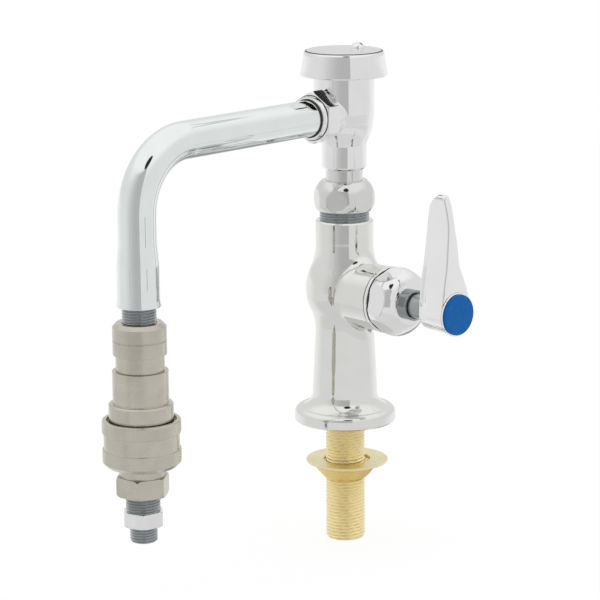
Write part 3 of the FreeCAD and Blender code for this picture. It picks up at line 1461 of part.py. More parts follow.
coupler_ring = torus("coupler_o_ring_torus", d.plug_nose_radius + d.running_clearance,
                     d.coupler_ring_groove_radius, (d.coupler_ring_groove_at + seal_end) / 2)
group("coupler_o_ring", [coupler_ring], **coupler_place)
ring("sleeve_retaining_ring", d.retaining_ring_floor, d.retaining_ring_radius, d.retaining_ring_at,
     d.retaining_ring_thickness, **coupler_place)

sleeve = new_body("release_sleeve", z=d.coupler_bottom - d.sleeve_overhang, **leg)
land_start = ring_end + d.sleeve_overhang
land_end = land_start + d.sleeve_land_length
band_end = d.sleeve_bottom_height + d.sleeve_lower_band
waist_end = band_end + d.sleeve_waist_height
sleeve_top = waist_end + d.sleeve_upper_band
spin(sleeve, "sleeve", "Z", [
    (d.retaining_ring_radius + d.free_clearance, ZERO),
    (d.sleeve_bottom_radius, ZERO),
    (d.sleeve_radius, d.sleeve_bottom_height),
    (d.sleeve_radius, band_end),
    (d.sleeve_waist_radius, band_end),
    (d.sleeve_waist_radius, waist_end),
    (d.sleeve_radius, waist_end),
    (d.sleeve_radius, sleeve_top - d.sleeve_edge_round, d.sleeve_edge_round, 1),
    (d.sleeve_radius - d.sleeve_edge_round, sleeve_top),
    (d.sleeve_lip_radius, sleeve_top),
    (d.sleeve_lip_radius, sleeve_top - d.sleeve_lip_depth),
    (d.shoulder_radius + d.running_clearance, sleeve_top - d.sleeve_lip_depth),
    (d.shoulder_radius + d.running_clearance, land_end),
    (d.barrel_radius + d.running_clearance, land_end),
    (d.barrel_radius + d.running_clearance, land_start),
    (d.retaining_ring_radius + d.free_clearance, land_start),
])
spring_start = land_end - d.sleeve_overhang
coil("sleeve_spring", d.sleeve_spring_radius, d.sleeve_spring_wire, ZERO, d.barrel_length - spring_start,
     d.sleeve_spring_turns, z=d.coupler_bottom + spring_start, **leg)

check = new_body("check_poppet", z=d.coupler_bottom, **leg)
plug_top = d.coupler_bore_depth - d.plug_nose_gap
seal_start = web_top + d.poppet_gap
poppet_head = seal_start + d.poppet_seal_thickness
tail_start = poppet_head + d.poppet_head_thickness
spin(check, "poppet", "Z", [
    (ZERO, plug_top),
    (d.poppet_stem_radius, plug_top),
    (d.poppet_stem_radius, poppet_head),
    (d.poppet_radius, poppet_head),
    (d.poppet_radius, tail_start),
    (d.poppet_tail_radius, tail_start),
    (d.poppet_tail_radius, tail_start + d.poppet_tail_length),
    (ZERO, tail_start + d.poppet_tail_length),
])
ring("poppet_seal", d.poppet_stem_radius, d.poppet_radius, seal_start, d.poppet_seal_thickness,
     **coupler_place)
coil("check_spring", d.check_spring_radius, d.check_spring_wire, ZERO, d.guide_disc_at - tail_start,
     d.check_spring_turns, z=d.coupler_bottom + tail_start, **leg)

poppet_guide = new_body("poppet_guide", **coupler_place)
guide_end = d.guide_disc_at + d.guide_disc_thickness
guide_hole = d.poppet_tail_radius + d.running_clearance
spin(poppet_guide, "guide", "Z", [
    (guide_hole, d.guide_disc_at),
    (d.poppet_chamber_radius, d.guide_disc_at),
    (d.poppet_chamber_radius, guide_end),
    (d.poppet_guide_radius, guide_end),
    (d.poppet_guide_radius, guide_end + d.poppet_guide_length),
    (guide_hole, guide_end + d.poppet_guide_length),
])
port = new_sketch(poppet_guide, "port_profile", "XY_Plane", d.guide_disc_at + d.guide_disc_thickness / 2)
draw_circle(port, d.guide_disc_port_circle, ZERO, d.guide_disc_port_radius)
ports = push(poppet_guide, "port", port, d.guide_disc_thickness)
repeat(poppet_guide, "ports", ports, port, 6)


# Plug that the hose screws to, and its reducing nipple

plug = new_body("plug_body", z=d.plug_bottom, **leg)
neck_end = d.coupler_bottom - d.plug_neck_gap - d.plug_bottom
nose_top = d.coupler_bottom + plug_top - d.plug_bottom
groove_middle = d.coupler_bottom + d.ball_height - d.plug_bottom
plug_corner = d.plug_across_flats * HALF_HEX / 2
spin(plug, "blank", "Z", [
    (d.three_eighths_thread_radius, ZERO),
    (plug_corner - d.plug_chamfer, ZERO),
    (plug_corner, d.plug_chamfer),
    (plug_corner, d.plug_hex_height - d.plug_chamfer),
    (plug_corner - d.plug_chamfer, d.plug_hex_height),
    (d.plug_neck_radius, d.plug_hex_height),
    (d.plug_neck_radius, neck_end),
    (d.plug_nose_radius, neck_end),
    (d.plug_nose_radius, groove_middle - d.plug_groove_width / 2),
    (d.plug_groove_floor, groove_middle - d.plug_groove_width / 2),
    (d.plug_groove_floor, groove_middle + d.plug_groove_width / 2),
    (d.plug_nose_radius, groove_middle + d.plug_groove_width / 2),
    (d.plug_nose_radius, nose_top - d.plug_nose_chamfer),
    (d.plug_nose_radius - d.plug_nose_chamfer, nose_top),
    (d.plug_bore_radius, nose_top),
    (d.plug_bore_radius, d.plug_thread_depth),
    (d.three_eighths_thread_radius, d.plug_thread_depth),
])
hexagon(plug, "flats", "XY_Plane", d.plug_across_flats, ZERO, d.plug_hex_height, d.plug_hex_turn - d.swing)
cross_bar = new_sketch(plug, "bar_profile", "XY_Plane", nose_top - d.plug_bar_height / 2)
bar_reach = d.plug_bore_radius + d.plug_bar_root
draw(cross_bar, box_points(-bar_reach, bar_reach, -d.plug_bar_width / 2, d.plug_bar_width / 2))
push(plug, "bar", cross_bar, d.plug_bar_height, cut=False)

reducer_bottom = d.plug_bottom - d.reducer_neck - d.reducer_hex_height - d.reducer_thread_length
reducer = new_body("reducing_nipple", z=reducer_bottom, **leg)
hex_end = d.reducer_thread_length + d.reducer_hex_height
thread_end = hex_end + d.reducer_neck + d.reducer_engagement
reducer_corner = d.reducer_across_flats * HALF_HEX / 2
spin(reducer, "blank", "Z", [
    (d.reducer_bore_radius, ZERO),
    (d.quarter_thread_radius - d.thread_end_chamfer, ZERO),
    (d.quarter_thread_radius, d.thread_end_chamfer),
    (d.quarter_thread_radius, d.reducer_thread_length),
    (reducer_corner - d.reducer_chamfer, d.reducer_thread_length),
    (reducer_corner, d.reducer_thread_length + d.reducer_chamfer),
    (reducer_corner, hex_end - d.reducer_chamfer),
    (reducer_corner - d.reducer_chamfer, hex_end),
    (d.three_eighths_thread_radius, hex_end),
    (d.three_eighths_thread_radius, thread_end - d.thread_end_chamfer),
    (d.three_eighths_thread_radius - d.thread_end_chamfer, thread_end),
    (d.reducer_bore_radius, thread_end),
])
hexagon(reducer, "flats", "XY_Plane", d.reducer_across_flats, d.reducer_thread_length, d.reducer_hex_height,
        d.reducer_hex_turn - d.swing)


doc.recompute()
faults = [item.Label for item in doc.Objects if "Invalid" in item.State or "Error" in item.State]
for node in nodes:
    if node.Shape.isNull() or not node.Shape.isValid() or not node.Shape.Solids:
        faults.append(node.Label + " shape")
if faults:
    raise RuntimeError("faulty: " + ", ".join(faults))
os.makedirs("parts", exist_ok=True)
for node in nodes:
    node.Shape.exportStep("parts/%s.step" % node.Label)
    print("%-24s %2d solids %10.1f mm3" % (node.Label, len(node.Shape.Solids), node.Shape.Volume))
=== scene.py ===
from functools import partial
import json
import math
from types import SimpleNamespace as Sizes
import bpy
import numpy as np
from mathutils import Matrix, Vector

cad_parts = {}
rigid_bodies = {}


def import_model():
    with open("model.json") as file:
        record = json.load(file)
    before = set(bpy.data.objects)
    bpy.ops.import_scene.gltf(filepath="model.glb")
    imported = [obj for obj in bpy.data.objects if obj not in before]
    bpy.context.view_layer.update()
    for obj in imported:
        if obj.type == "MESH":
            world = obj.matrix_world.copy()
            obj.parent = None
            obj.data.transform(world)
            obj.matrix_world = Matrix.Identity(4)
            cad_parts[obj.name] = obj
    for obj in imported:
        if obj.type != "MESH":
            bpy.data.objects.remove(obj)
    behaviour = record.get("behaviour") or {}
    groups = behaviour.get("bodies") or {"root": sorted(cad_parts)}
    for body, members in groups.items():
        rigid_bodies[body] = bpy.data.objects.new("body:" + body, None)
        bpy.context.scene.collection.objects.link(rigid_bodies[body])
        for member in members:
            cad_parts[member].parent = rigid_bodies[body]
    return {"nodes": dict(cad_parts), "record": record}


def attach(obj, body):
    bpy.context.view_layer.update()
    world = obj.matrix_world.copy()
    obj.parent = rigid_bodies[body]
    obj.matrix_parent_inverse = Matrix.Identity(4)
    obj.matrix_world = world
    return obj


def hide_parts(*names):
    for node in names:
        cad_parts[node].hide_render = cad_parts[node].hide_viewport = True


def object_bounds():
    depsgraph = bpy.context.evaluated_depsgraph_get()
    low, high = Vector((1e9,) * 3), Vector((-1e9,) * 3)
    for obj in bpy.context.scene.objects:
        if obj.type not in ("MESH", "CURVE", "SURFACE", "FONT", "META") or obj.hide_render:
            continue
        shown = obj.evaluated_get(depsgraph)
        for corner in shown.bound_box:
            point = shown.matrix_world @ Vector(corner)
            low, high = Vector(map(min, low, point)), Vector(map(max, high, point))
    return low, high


for start in list(bpy.data.objects):
    bpy.data.objects.remove(start)
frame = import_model()
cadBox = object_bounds()
print("frame loaded")

# Column, valve axis, spout arm and the leg that hangs from it (mm, degrees)
layout = {"valveHeight": 70.5, "seat": -4.0, "armHeight": 165.6, "reach": 152.6, "swing": 5.2}


# the four axes as 4x4 arrays, each of which takes a piece's own mm to the part's

def turnZ(degrees):
    c, s = math.cos(math.radians(degrees)), math.sin(math.radians(degrees))
    return np.array([[c, -s, 0, 0], [s, c, 0, 0], [0, 0, 1, 0], [0, 0, 0, 1.0]])


def shift(x=0.0, y=0.0, z=0.0):
    m = np.eye(4)
    m[:3, 3] = (x, y, z)
    return m


zToX = np.array([[0, 0, 1, 0], [0, 1, 0, 0], [-1, 0, 0, 0], [0, 0, 0, 1.0]])
zToY = np.array([[-1, 0, 0, 0], [0, 0, 1, 0], [0, 1, 0, 0], [0, 0, 0, 1.0]])
column = np.eye(4)
swung = turnZ(180 + layout["swing"])
lifted = shift(x=layout["seat"], z=layout["valveHeight"])
valve = lifted @ zToX
arm = swung @ shift(z=layout["armHeight"]) @ zToY
leg = swung @ shift(y=layout["reach"])


def moved(part, place):
    verts, faces, norms = part
    return verts @ place[:3, :3].T + place[:3, 3], faces, norms @ place[:3, :3].T


# turned shapes

def arcTo(start, end, radius, side, steps=14):
    # points after start up to end; side 1 has the centre on the left of the way
    chord = math.dist(start, end)
    rise = math.sqrt(max(radius ** 2 - chord ** 2 / 4, 0))
    nx, ny = -(end[1] - start[1]) / chord * side, (end[0] - start[0]) / chord * side
    cx, cy = (start[0] + end[0]) / 2 + nx * rise, (start[1] + end[1]) / 2 + ny * rise
    a = math.atan2(start[1] - cy, start[0] - cx)
    b = math.atan2(end[1] - cy, end[0] - cx)
    turn = (b - a) % (2 * math.pi) if side > 0 else -((a - b) % (2 * math.pi))
    return [(cx + radius * math.cos(a + turn * k / steps), cy + radius * math.sin(a + turn * k / steps))
            for k in range(1, steps + 1)]


def outline(points):
    # (r, z), or (r, z, radius, side) where an arc leaves the point
    line = []
    for k, point in enumerate(points):
        after = points[(k + 1) % len(points)]
        line.append((point[0], point[1]))
        if len(point) == 4:
            line += arcTo(point[:2], after[:2], point[2], point[3])[:-1]
    return line


def softened(points, edge, closed):
    # corners over 20 degrees become small arcs; returns r, z and the outward normal of each point
    count = len(points)
    out = []
    for k in range(count):
        here = np.array(points[k], float)
        if not closed and k in (0, count - 1):
            other = np.array(points[1] if k == 0 else points[-2], float)
            way = (other - here) if k == 0 else (here - other)
            way /= np.linalg.norm(way)
            out.append((here[0], here[1], way[1], -way[0]))
            continue
        u = here - np.array(points[k - 1], float)
        v = np.array(points[(k + 1) % count], float) - here
        lu, lv = np.linalg.norm(u), np.linalg.norm(v)
        if lu < 1e-9 or lv < 1e-9:
            continue
        u, v = u / lu, v / lv
        turn = math.atan2(u[0] * v[1] - u[1] * v[0], u @ v)
        if abs(turn) < math.radians(20) or here[0] < 1e-6:
            n = np.array([u[1] + v[1], -u[0] - v[0]])
            n /= np.linalg.norm(n)
            out.append((here[0], here[1], n[0], n[1]))
            continue
        cut = min(edge * math.tan(abs(turn) / 2), lu * 0.45, lv * 0.45)
        radius = cut / math.tan(abs(turn) / 2)
        first = here - u * cut
        side = 1 if turn > 0 else -1
        centre = first + np.array([-u[1], u[0]]) * side * radius
        spoke = first - centre
        steps = max(2, int(abs(turn) / math.radians(18)))
        for c, s in ((math.cos(turn * k / steps), math.sin(turn * k / steps)) for k in range(steps + 1)):
            turned = np.array([spoke[0] * c - spoke[1] * s, spoke[0] * s + spoke[1] * c])
            out.append((*(centre + turned), *(turned / radius * side)))
    return np.array(out)


def ringQuads(rings, around, closed):
    i = np.arange(rings if closed else rings - 1)[:, None]
    j = np.arange(around)[None, :]
    ni, nj = (i + 1) % rings, (j + 1) % around
    return np.stack([i * around + j, i * around + nj, ni * around + nj, ni * around + j], 2).reshape(-1, 4)


def lathe(points, place, edge=0.25, around=128, closed=True):
    # points run with the solid on their left when seen with r to the right and z up
    p = softened(outline(points), edge, closed)
    angles = np.arange(around) * 2 * math.pi / around

    def spun(r, z):
        return np.stack([np.outer(r, np.cos(angles)), np.outer(r, np.sin(angles)),
                         np.repeat(z[:, None], around, 1)], 2).reshape(-1, 3)

    verts, norms = spun(p[:, 0], p[:, 1]), spun(p[:, 2], p[:, 3])
    quads = ringQuads(len(p), around, closed)
    onAxis = np.repeat(p[:, 0] < 1e-6, around)
    return moved((verts, quads[~(onAxis[quads].sum(1) == 4)], norms), place)


def tube(inner, outer, low, high, place, **options):
    # a plain ring, sleeve or disc
    return lathe([(inner, low), (outer, low), (outer, high), (inner, high)], place, **options)


# implicit shapes: negative inside, sampled on a grid and pulled onto the zero surface

def polygonField(points):
    line = np.array(outline(points), float)
    ends = np.roll(line, -1, 0)
    way = ends - line
    length = (way ** 2).sum(1)
    keep = length > 1e-12
    line, ends, way, length = line[keep], ends[keep], way[keep], length[keep]

    def field(r, z):
        best = np.full(r.shape, 1e9)
        inside = np.zeros(r.shape, bool)
        for (ax, az), (bx, bz), (wx, wz), ll in zip(line, ends, way, length):
            t = np.clip(((r - ax) * wx + (z - az) * wz) / ll, 0, 1)
            best = np.minimum(best, (r - ax - t * wx) ** 2 + (z - az - t * wz) ** 2)
            if az != bz:
                inside ^= ((az > z) != (bz > z)) & (r < (bx - ax) * (z - az) / (bz - az) + ax)
        return np.where(inside, -1, 1) * np.sqrt(best)
    return field


def smoothMin(a, b, k):
    h = np.clip(0.5 + 0.5 * (b - a) / k, 0, 1)
    return b + (a - b) * h - k * h * (1 - h)


def slopeOf(field, points, reach):
    slope = np.empty_like(points)
    for axis in range(3):
        ahead, behind = points.copy(), points.copy()
        ahead[:, axis] += reach
        behind[:, axis] -= reach
        slope[:, axis] = (field(ahead) - field(behind)) / (2 * reach)
    return slope


def pullOf(field, points, slope):
    return (field(points) / np.maximum((slope ** 2).sum(1), 0.05))[:, None] * slope


def outwards(field, points, reach=0.12):
    slope = slopeOf(field, points, reach)
    return slope / np.maximum(np.linalg.norm(slope, axis=1, keepdims=True), 1e-9)


def skin(field, low, high, step, place=column):
    low, high = np.array(low, float), np.array(high, float)
    size = np.ceil((high - low) / step).astype(int) + 1
    axes = [low[a] + step * np.arange(size[a]) for a in range(3)]
    grid = np.stack(np.meshgrid(*axes, indexing="ij"), 3)
    inside = np.concatenate([field(slab.reshape(-1, 3)) for slab in grid]).reshape(size) < 0
    cell = np.full(np.array(size) - 1, -1)
    mixed = np.zeros(cell.shape, bool)
    for dx, dy, dz in np.ndindex(2, 2, 2):
        corner = inside[dx:size[0] - 1 + dx, dy:size[1] - 1 + dy, dz:size[2] - 1 + dz]
        mixed |= corner != inside[:-1, :-1, :-1]
    where = np.argwhere(mixed)
    cell[mixed] = np.arange(len(where))
    verts = low + (where + 0.5) * step
    quads = []
    for axis in range(3):
        a, b = (axis + 1) % 3, (axis + 2) % 3
        one = np.take(inside, range(size[axis] - 1), axis)
        two = np.take(inside, range(1, size[axis]), axis)
        edge = np.argwhere(one != two)
        edge = edge[((edge[:, [a, b]] > 0) & (edge[:, [a, b]] < size[[a, b]] - 1)).all(1)]
        ring = []
        for da, db in ((-1, -1), (0, -1), (0, 0), (-1, 0)):
            shifted = edge.copy()
            shifted[:, a] += da
            shifted[:, b] += db
            ring.append(cell[tuple(shifted.T)])
        ring = np.stack(ring, 1)
        starts = one[tuple(edge.T)]
        ring[~starts] = ring[~starts][:, ::-1]
        quads.append(ring)
    for _ in range(6):
        pull = pullOf(field, verts, slopeOf(field, verts, 0.02))
        far = np.linalg.norm(pull, axis=1, keepdims=True)
        verts = verts - pull * np.minimum(1, step / np.maximum(far, 1e-9))
    return moved((verts, np.concatenate(quads), outwards(field, verts)), place)


def hexForm(points, across, turn, place, grain=0.36, rounding=0.3, margin=1.1):
    # a turned blank with six flats, its edges slightly broken
    blank = polygonField(points)
    outer = max(point[0] for point in points) + margin
    low, high = min(point[1] for point in points) - margin, max(point[1] for point in points) + margin
    sides = [math.radians(turn + 60 * k) for k in range(3)]

    def field(p):
        x, y, z = p.T
        flats = np.max([np.abs(x * math.cos(a) + y * math.sin(a)) for a in sides], 0) - across / 2
        return -smoothMin(-blank(np.hypot(x, y), z), -flats, rounding)
    return skin(field, (-outer, -outer, low), (outer, outer, high), grain, place)


def hexBlank(s, inner, start, end, place):
    # a hexagon bar with both ends chamfered
    corner = s.acrossFlats / math.sqrt(3)
    return hexForm([
        (inner, start), (corner - s.chamfer, start), (corner, start + s.chamfer), (corner, end - s.chamfer),
        (corner - s.chamfer, end), (inner, end),
    ], s.acrossFlats, s.turn, place)


# nodes and materials

def addNode(tree, kind, inputs={}, **settings):
    # an input takes a value or another node's output; returns the node's outputs
    node = tree.nodes.new(kind)
    for key, value in settings.items():
        setattr(node, key, value)
    for key, value in inputs.items():
        if isinstance(value, bpy.types.NodeSocket):
            tree.links.new(value, node.inputs[key])
        else:
            node.inputs[key].default_value = value
    return node.outputs


def maths(tree, operation, *values):
    return addNode(tree, "ShaderNodeMath", dict(enumerate(values)), operation=operation)[0]


def fourRules(tree):
    return (partial(maths, tree, operation) for operation in ("ADD", "SUBTRACT", "MULTIPLY", "DIVIDE"))


def smoothStep(tree, value, zeroAt, oneAt):
    return addNode(tree, "ShaderNodeMapRange", {"Value": value, "From Min": zeroAt, "From Max": oneAt},
                   interpolation_type="SMOOTHSTEP")[0]


def mixShader(tree, factor, first, second):
    return addNode(tree, "ShaderNodeMixShader", {0: factor, 1: first, 2: second})[0]


def newMaterial(name):
    material = bpy.data.materials.new(name)
    material.use_nodes = True
    material.node_tree.nodes.clear()
    return material, material.node_tree


def finishMaterial(tree, shader):
    addNode(tree, "ShaderNodeOutputMaterial", {0: shader})


def objectPlace(tree):
    return addNode(tree, "ShaderNodeTexCoord")["Object"]


def cloud(tree, scale, low, high, detail=3.0):
    noise = objectNoise(tree, scale, detail)
    return addNode(tree, "ShaderNodeMapRange", {
        "Value": noise, "From Min": 0.3, "From Max": 0.7, "To Min": low, "To Max": high})[0]


def objectNoise(tree, scale, detail=3.0):
    return addNode(tree, "ShaderNodeTexNoise", {
        "Vector": objectPlace(tree), "Scale": scale, "Detail": detail})["Fac"]


def twoTone(tree, scale, first, second):
    return addNode(tree, "ShaderNodeMix", {
        "Factor": cloud(tree, scale, 0, 1), "A": (*first, 1), "B": (*second, 1)}, data_type="RGBA")["Result"]


def raised(tree, height, millimetres):
    return addNode(tree, "ShaderNodeBump", {
        "Height": height, "Strength": 1.0, "Distance": millimetres * 0.001})[0]


# scales of the noises, and the distance between lathe marks in mm
finish = {"tone": 90.0, "shine": 900.0, "casting": 140.0, "marks": 0.3, "plain": 400.0}


def metal(name, bright, dull, rough, cast=0.0, turned=0.0):
    # cast is the height of the waviness left by casting and polishing, turned that of lathe marks (mm)
    material, tree = newMaterial(name)
    inputs = {"Metallic": 1.0, "Base Color": twoTone(tree, finish["tone"], bright, dull),
              "Roughness": cloud(tree, finish["shine"], rough * 0.75, rough * 1.3, 2.0)}
    if turned:
        lines = addNode(tree, "ShaderNodeTexWave", {
            "Vector": objectPlace(tree), "Scale": math.pi / (10 * finish["marks"] * 0.001), "Distortion": 1.5,
            "Detail": 2.0, "Detail Scale": 0.4}, bands_direction="Z")
        inputs["Normal"] = raised(tree, lines["Fac"], turned)
    elif cast:
        inputs["Normal"] = raised(tree, objectNoise(tree, finish["casting"], 1.0), cast)
    finishMaterial(tree, addNode(tree, "ShaderNodeBsdfPrincipled", inputs)[0])
    return material


def plain(name, first, second, rough, grain=0.0, shine=0.5):
    material, tree = newMaterial(name)
    scale = finish["plain"]
    inputs = {"Base Color": twoTone(tree, scale, first, second), "Specular IOR Level": shine,
              "Roughness": cloud(tree, scale * 3, rough * 0.8, rough * 1.2)}
    if grain:
        inputs["Normal"] = raised(tree, objectNoise(tree, scale * 2), grain)
    finishMaterial(tree, addNode(tree, "ShaderNodeBsdfPrincipled", inputs)[0])
    return material


materials = {
    "polished_chrome": metal("chrome", (0.885, 0.888, 0.885), (0.85, 0.853, 0.85), 0.03),
    "cast_chrome": metal("castChrome", (0.82, 0.823, 0.8), (0.785, 0.788, 0.765), 0.07, cast=0.012),
    "tube_chrome": metal("tubeChrome", (0.87, 0.905, 0.9), (0.84, 0.875, 0.87), 0.035),
    "nut_chrome": metal("nutChrome", (0.76, 0.765, 0.75), (0.72, 0.725, 0.71), 0.05),
    "panel_chrome": metal("panelChrome", (0.8, 0.8, 0.8), (0.76, 0.76, 0.76), 0.22, cast=0.002),
    "thread_chrome": metal("threadChrome", (0.46, 0.48, 0.49), (0.38, 0.4, 0.41), 0.22),
    # dark grey: painted shade for the hollow inside the hood and the groove around its top panel
    "inside_shade": plain("paintedInsideShade", (0.17, 0.17, 0.17), (0.2, 0.2, 0.2), 0.5),
    "lever_chrome": metal("leverChrome", (0.95, 0.952, 0.948), (0.92, 0.922, 0.918), 0.03),
    "nickel_plate": metal("turnedNickel", (0.61, 0.585, 0.505), (0.54, 0.515, 0.445), 0.24, turned=0.0015),
    "raw_brass": metal("yellowBrass", (1.0, 0.87, 0.52), (0.97, 0.83, 0.47), 0.34),
    "washer_brass": metal("washerBrass", (0.94, 0.85, 0.55), (0.88, 0.79, 0.48), 0.34),
    "turned_brass": metal("turnedBrass", (0.86, 0.66, 0.24), (0.8, 0.6, 0.2), 0.24),
    "stainless_steel": metal("steel", (0.4, 0.42, 0.42), (0.31, 0.33, 0.33), 0.14, turned=0.003),
    "white_ceramic": plain("ceramic", (0.86, 0.86, 0.84), (0.82, 0.82, 0.8), 0.25),
    "black_rubber": plain("rubber", (0.03, 0.03, 0.03), (0.045, 0.045, 0.045), 0.6, grain=0.02),
    "white_plastic": plain("whitePlastic", (0.82, 0.82, 0.8), (0.78, 0.78, 0.76), 0.4),
    "blue_plastic": plain("bluePlastic", (0.004, 0.155, 0.52), (0.003, 0.13, 0.46), 0.4, shine=0.12),
}
print("materials made")


# from arrays to pieces

def gather(parts):
    verts, faces, norms, offset = [], [], [], 0
    for v, f, n in parts:
        facing = np.cross(v[f[:, 2]] - v[f[:, 0]], v[f[:, 3]] - v[f[:, 1]])
        if (facing * n[f].mean(1)).sum() < 0:
            f = f[:, ::-1]
        verts.append(v)
        norms.append(n)
        faces.append(f + offset)
        offset += len(v)
    return np.concatenate(verts), np.concatenate(faces), np.concatenate(norms)


def makePiece(name, parts, body, slot, *nodes, look=None):
    # the look is the slot's own material unless another is named
    verts, quads, norms = gather(parts)
    mesh = bpy.data.meshes.new(name)
    mesh.from_pydata((verts * 0.001).tolist(), [], [])
    quads = quads.astype(np.int32)
    same = (quads[:, 0] == quads[:, 1]) | (quads[:, 1] == quads[:, 2]) | (quads[:, 2] == quads[:, 3])
    quads = quads[~same]
    mesh.loops.add(quads.size)
    mesh.polygons.add(len(quads))
    mesh.loops.foreach_set("vertex_index", quads.ravel())
    mesh.polygons.foreach_set("loop_start", np.arange(0, quads.size, 4, dtype=np.int32))
    mesh.update(calc_edges=True)
    mesh.validate(clean_customdata=False)
    mesh.polygons.foreach_set("use_smooth", np.ones(len(mesh.polygons), bool))
    mesh.normals_split_custom_set_from_vertices(norms.tolist())
    piece = bpy.data.objects.new(name, mesh)
    bpy.context.scene.collection.objects.link(piece)
    mesh.materials.append(materials[look or slot])
    if nodes:
        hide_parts(*nodes)
    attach(piece, body)
    print("piece", name, len(mesh.polygons), "faces")


# Geometry Nodes: a turned surface cut by threads, knurls or flutes

def cutSurfaceTree():
    # a sheet is rolled into a turned surface; grooves follow the phase along and around it
    tree = bpy.data.node_groups.new("cutSurface", "GeometryNodeTree")
    face = tree.interface
    face.new_socket(name="geometry", in_out="OUTPUT", socket_type="NodeSocketGeometry")
    sockets = {"around": 96, "along": 40, "radius": 10.0, "endRadius": 10.0, "length": 10.0, "pitch": 1.8,
               "starts": 1.0, "depth": 0.8, "crossed": 0.0, "land": 0.15, "runIn": 1.0}
    for name, value in sockets.items():
        kind = "NodeSocketInt" if isinstance(value, int) else "NodeSocketFloat"
        face.new_socket(name=name, in_out="INPUT", socket_type=kind).default_value = value
    face.new_socket(name="material", in_out="INPUT", socket_type="NodeSocketMaterial")
    calc = partial(maths, tree)
    plus, minus, times, over = fourRules(tree)
    given = addNode(tree, "NodeGroupInput")
    sheet = addNode(tree, "GeometryNodeMeshGrid", {
        "Size X": 1.0, "Vertices X": plus(given["around"], 1),
        "Size Y": 1.0, "Vertices Y": plus(given["along"], 1)})
    flat = addNode(tree, "ShaderNodeSeparateXYZ", {0: addNode(tree, "GeometryNodeInputPosition")[0]})
    around = plus(flat["X"], 0.5)
    along = plus(flat["Y"], 0.5)
    travelled = times(along, given["length"])
    turns = over(travelled, given["pitch"])
    phase = times(around, given["starts"])

    def groove(offset):
        wave = times(calc("PINGPONG", offset, 0.5), 2)
        span = minus(1, times(given["land"], 2))
        shaped = over(minus(wave, given["land"]), span)
        return calc("MINIMUM", calc("MAXIMUM", shaped, 0), 1)

    one = groove(minus(turns, phase))
    two = times(groove(plus(turns, phase)), given["crossed"])
    cut = times(calc("MAXIMUM", one, two), given["depth"])
    taper = times(minus(given["endRadius"], given["radius"]), along)
    whole = plus(given["radius"], taper)
    fromEnd = calc("MINIMUM", travelled, minus(given["length"], travelled))
    lead = calc("MINIMUM", over(fromEnd, given["runIn"]), 1)
    ramp = minus(whole, times(given["depth"], minus(1, lead)))
    radius = calc("MINIMUM", minus(whole, cut), ramp)
    angle = times(around, 2 * math.pi)
    rolled = addNode(tree, "ShaderNodeCombineXYZ", {
        "X": times(radius, calc("COSINE", angle)), "Y": times(radius, calc("SINE", angle)), "Z": travelled})
    placed = addNode(tree, "GeometryNodeSetPosition", {"Geometry": sheet["Mesh"], "Position": rolled[0]})
    joined = addNode(tree, "GeometryNodeMergeByDistance", {"Geometry": placed[0], "Distance": 0.0005})
    real = addNode(tree, "GeometryNodeRealizeInstances", {0: joined[0]})
    painted = addNode(tree, "GeometryNodeSetMaterial", {"Geometry": real[0], "Material": given["material"]})
    addNode(tree, "NodeGroupOutput", {0: painted[0]})
    return tree


cutSurface = cutSurfaceTree()


def cutPart(place, **given):
    # the tree's result as plain arrays in mm
    given.setdefault("endRadius", given["radius"])
    host = bpy.data.objects.new("cutHost", bpy.data.meshes.new("cutHost"))
    bpy.context.scene.collection.objects.link(host)
    modifier = host.modifiers.new("cut", "NODES")
    modifier.node_group = cutSurface
    for item in cutSurface.interface.items_tree:
        if item.in_out == "INPUT" and item.name in given:
            modifier[item.identifier] = given[item.name]
    bpy.context.view_layer.update()
    made = bpy.data.meshes.new_from_object(host.evaluated_get(bpy.context.evaluated_depsgraph_get()))
    bpy.data.objects.remove(host)
    verts, norms = np.empty(len(made.vertices) * 3), np.empty(len(made.vertices) * 3)
    made.vertices.foreach_get("co", verts)
    made.vertices.foreach_get("normal", norms)
    loops = np.empty(len(made.loops), np.int32)
    made.loops.foreach_get("vertex_index", loops)
    bpy.data.meshes.remove(made)
    verts, norms, quads = verts.reshape(-1, 3), norms.reshape(-1, 3), loops.reshape(-1, 4)
    face = np.cross(verts[quads[:, 1]] - verts[quads[:, 0]], verts[quads[:, 2]] - verts[quads[:, 0]])
    if (face[:, :2] * verts[quads].mean(1)[:, :2]).sum() < 0:
        quads, norms = quads[:, ::-1], -norms
    return moved((verts, quads, norms), place)


# base body

baseBody = {
    "flangeRadius": 27.0, "flangeHeight": 7.5, "flangeChamfer": 0.7, "flangeRound": 3.3,
    "footStart": 22.9, "footArc": 9.0, "footRadius": 17.2, "footTop": 16.7,
    "waistRadius": 15.6, "waistHeight": 49.0,
    "bulgeRadius": 20.7, "bulgeHeight": 71.5, "bulgeUnder": (17.4, 59.5), "bulgeOver": (17.6, 84.5),
    "underArc": 23.5, "overArc": 29.7, "blendArc": 30.0,
    "neckRadius": 15.3, "neckStart": 98.0, "neckTop": 109.0, "neckChamfer": 0.8,
    "spigotRadius": 13.2, "spigotTop": 120.0, "spigotCore": 12.2,
    "threadDepth": 0.75, "threadLength": 5.6, "threadPitch": 1.41, "threadSunk": 0.2,
    "branchRadius": 17.2, "branchReach": 31.5, "branchChamfer": 0.5, "saddle": 8.0,
    # joins of the arcs are eased over easeWidth; the middle is sampled between three cut planes
    "easeStep": 0.25, "easeCount": 12, "easeWidth": 0.8,
    "cutLow": 24.0, "cutHigh": 96.0, "cutBranch": 27.6, "gridSide": 23.0, "grain": 0.6, "bandGap": 1.5,
}


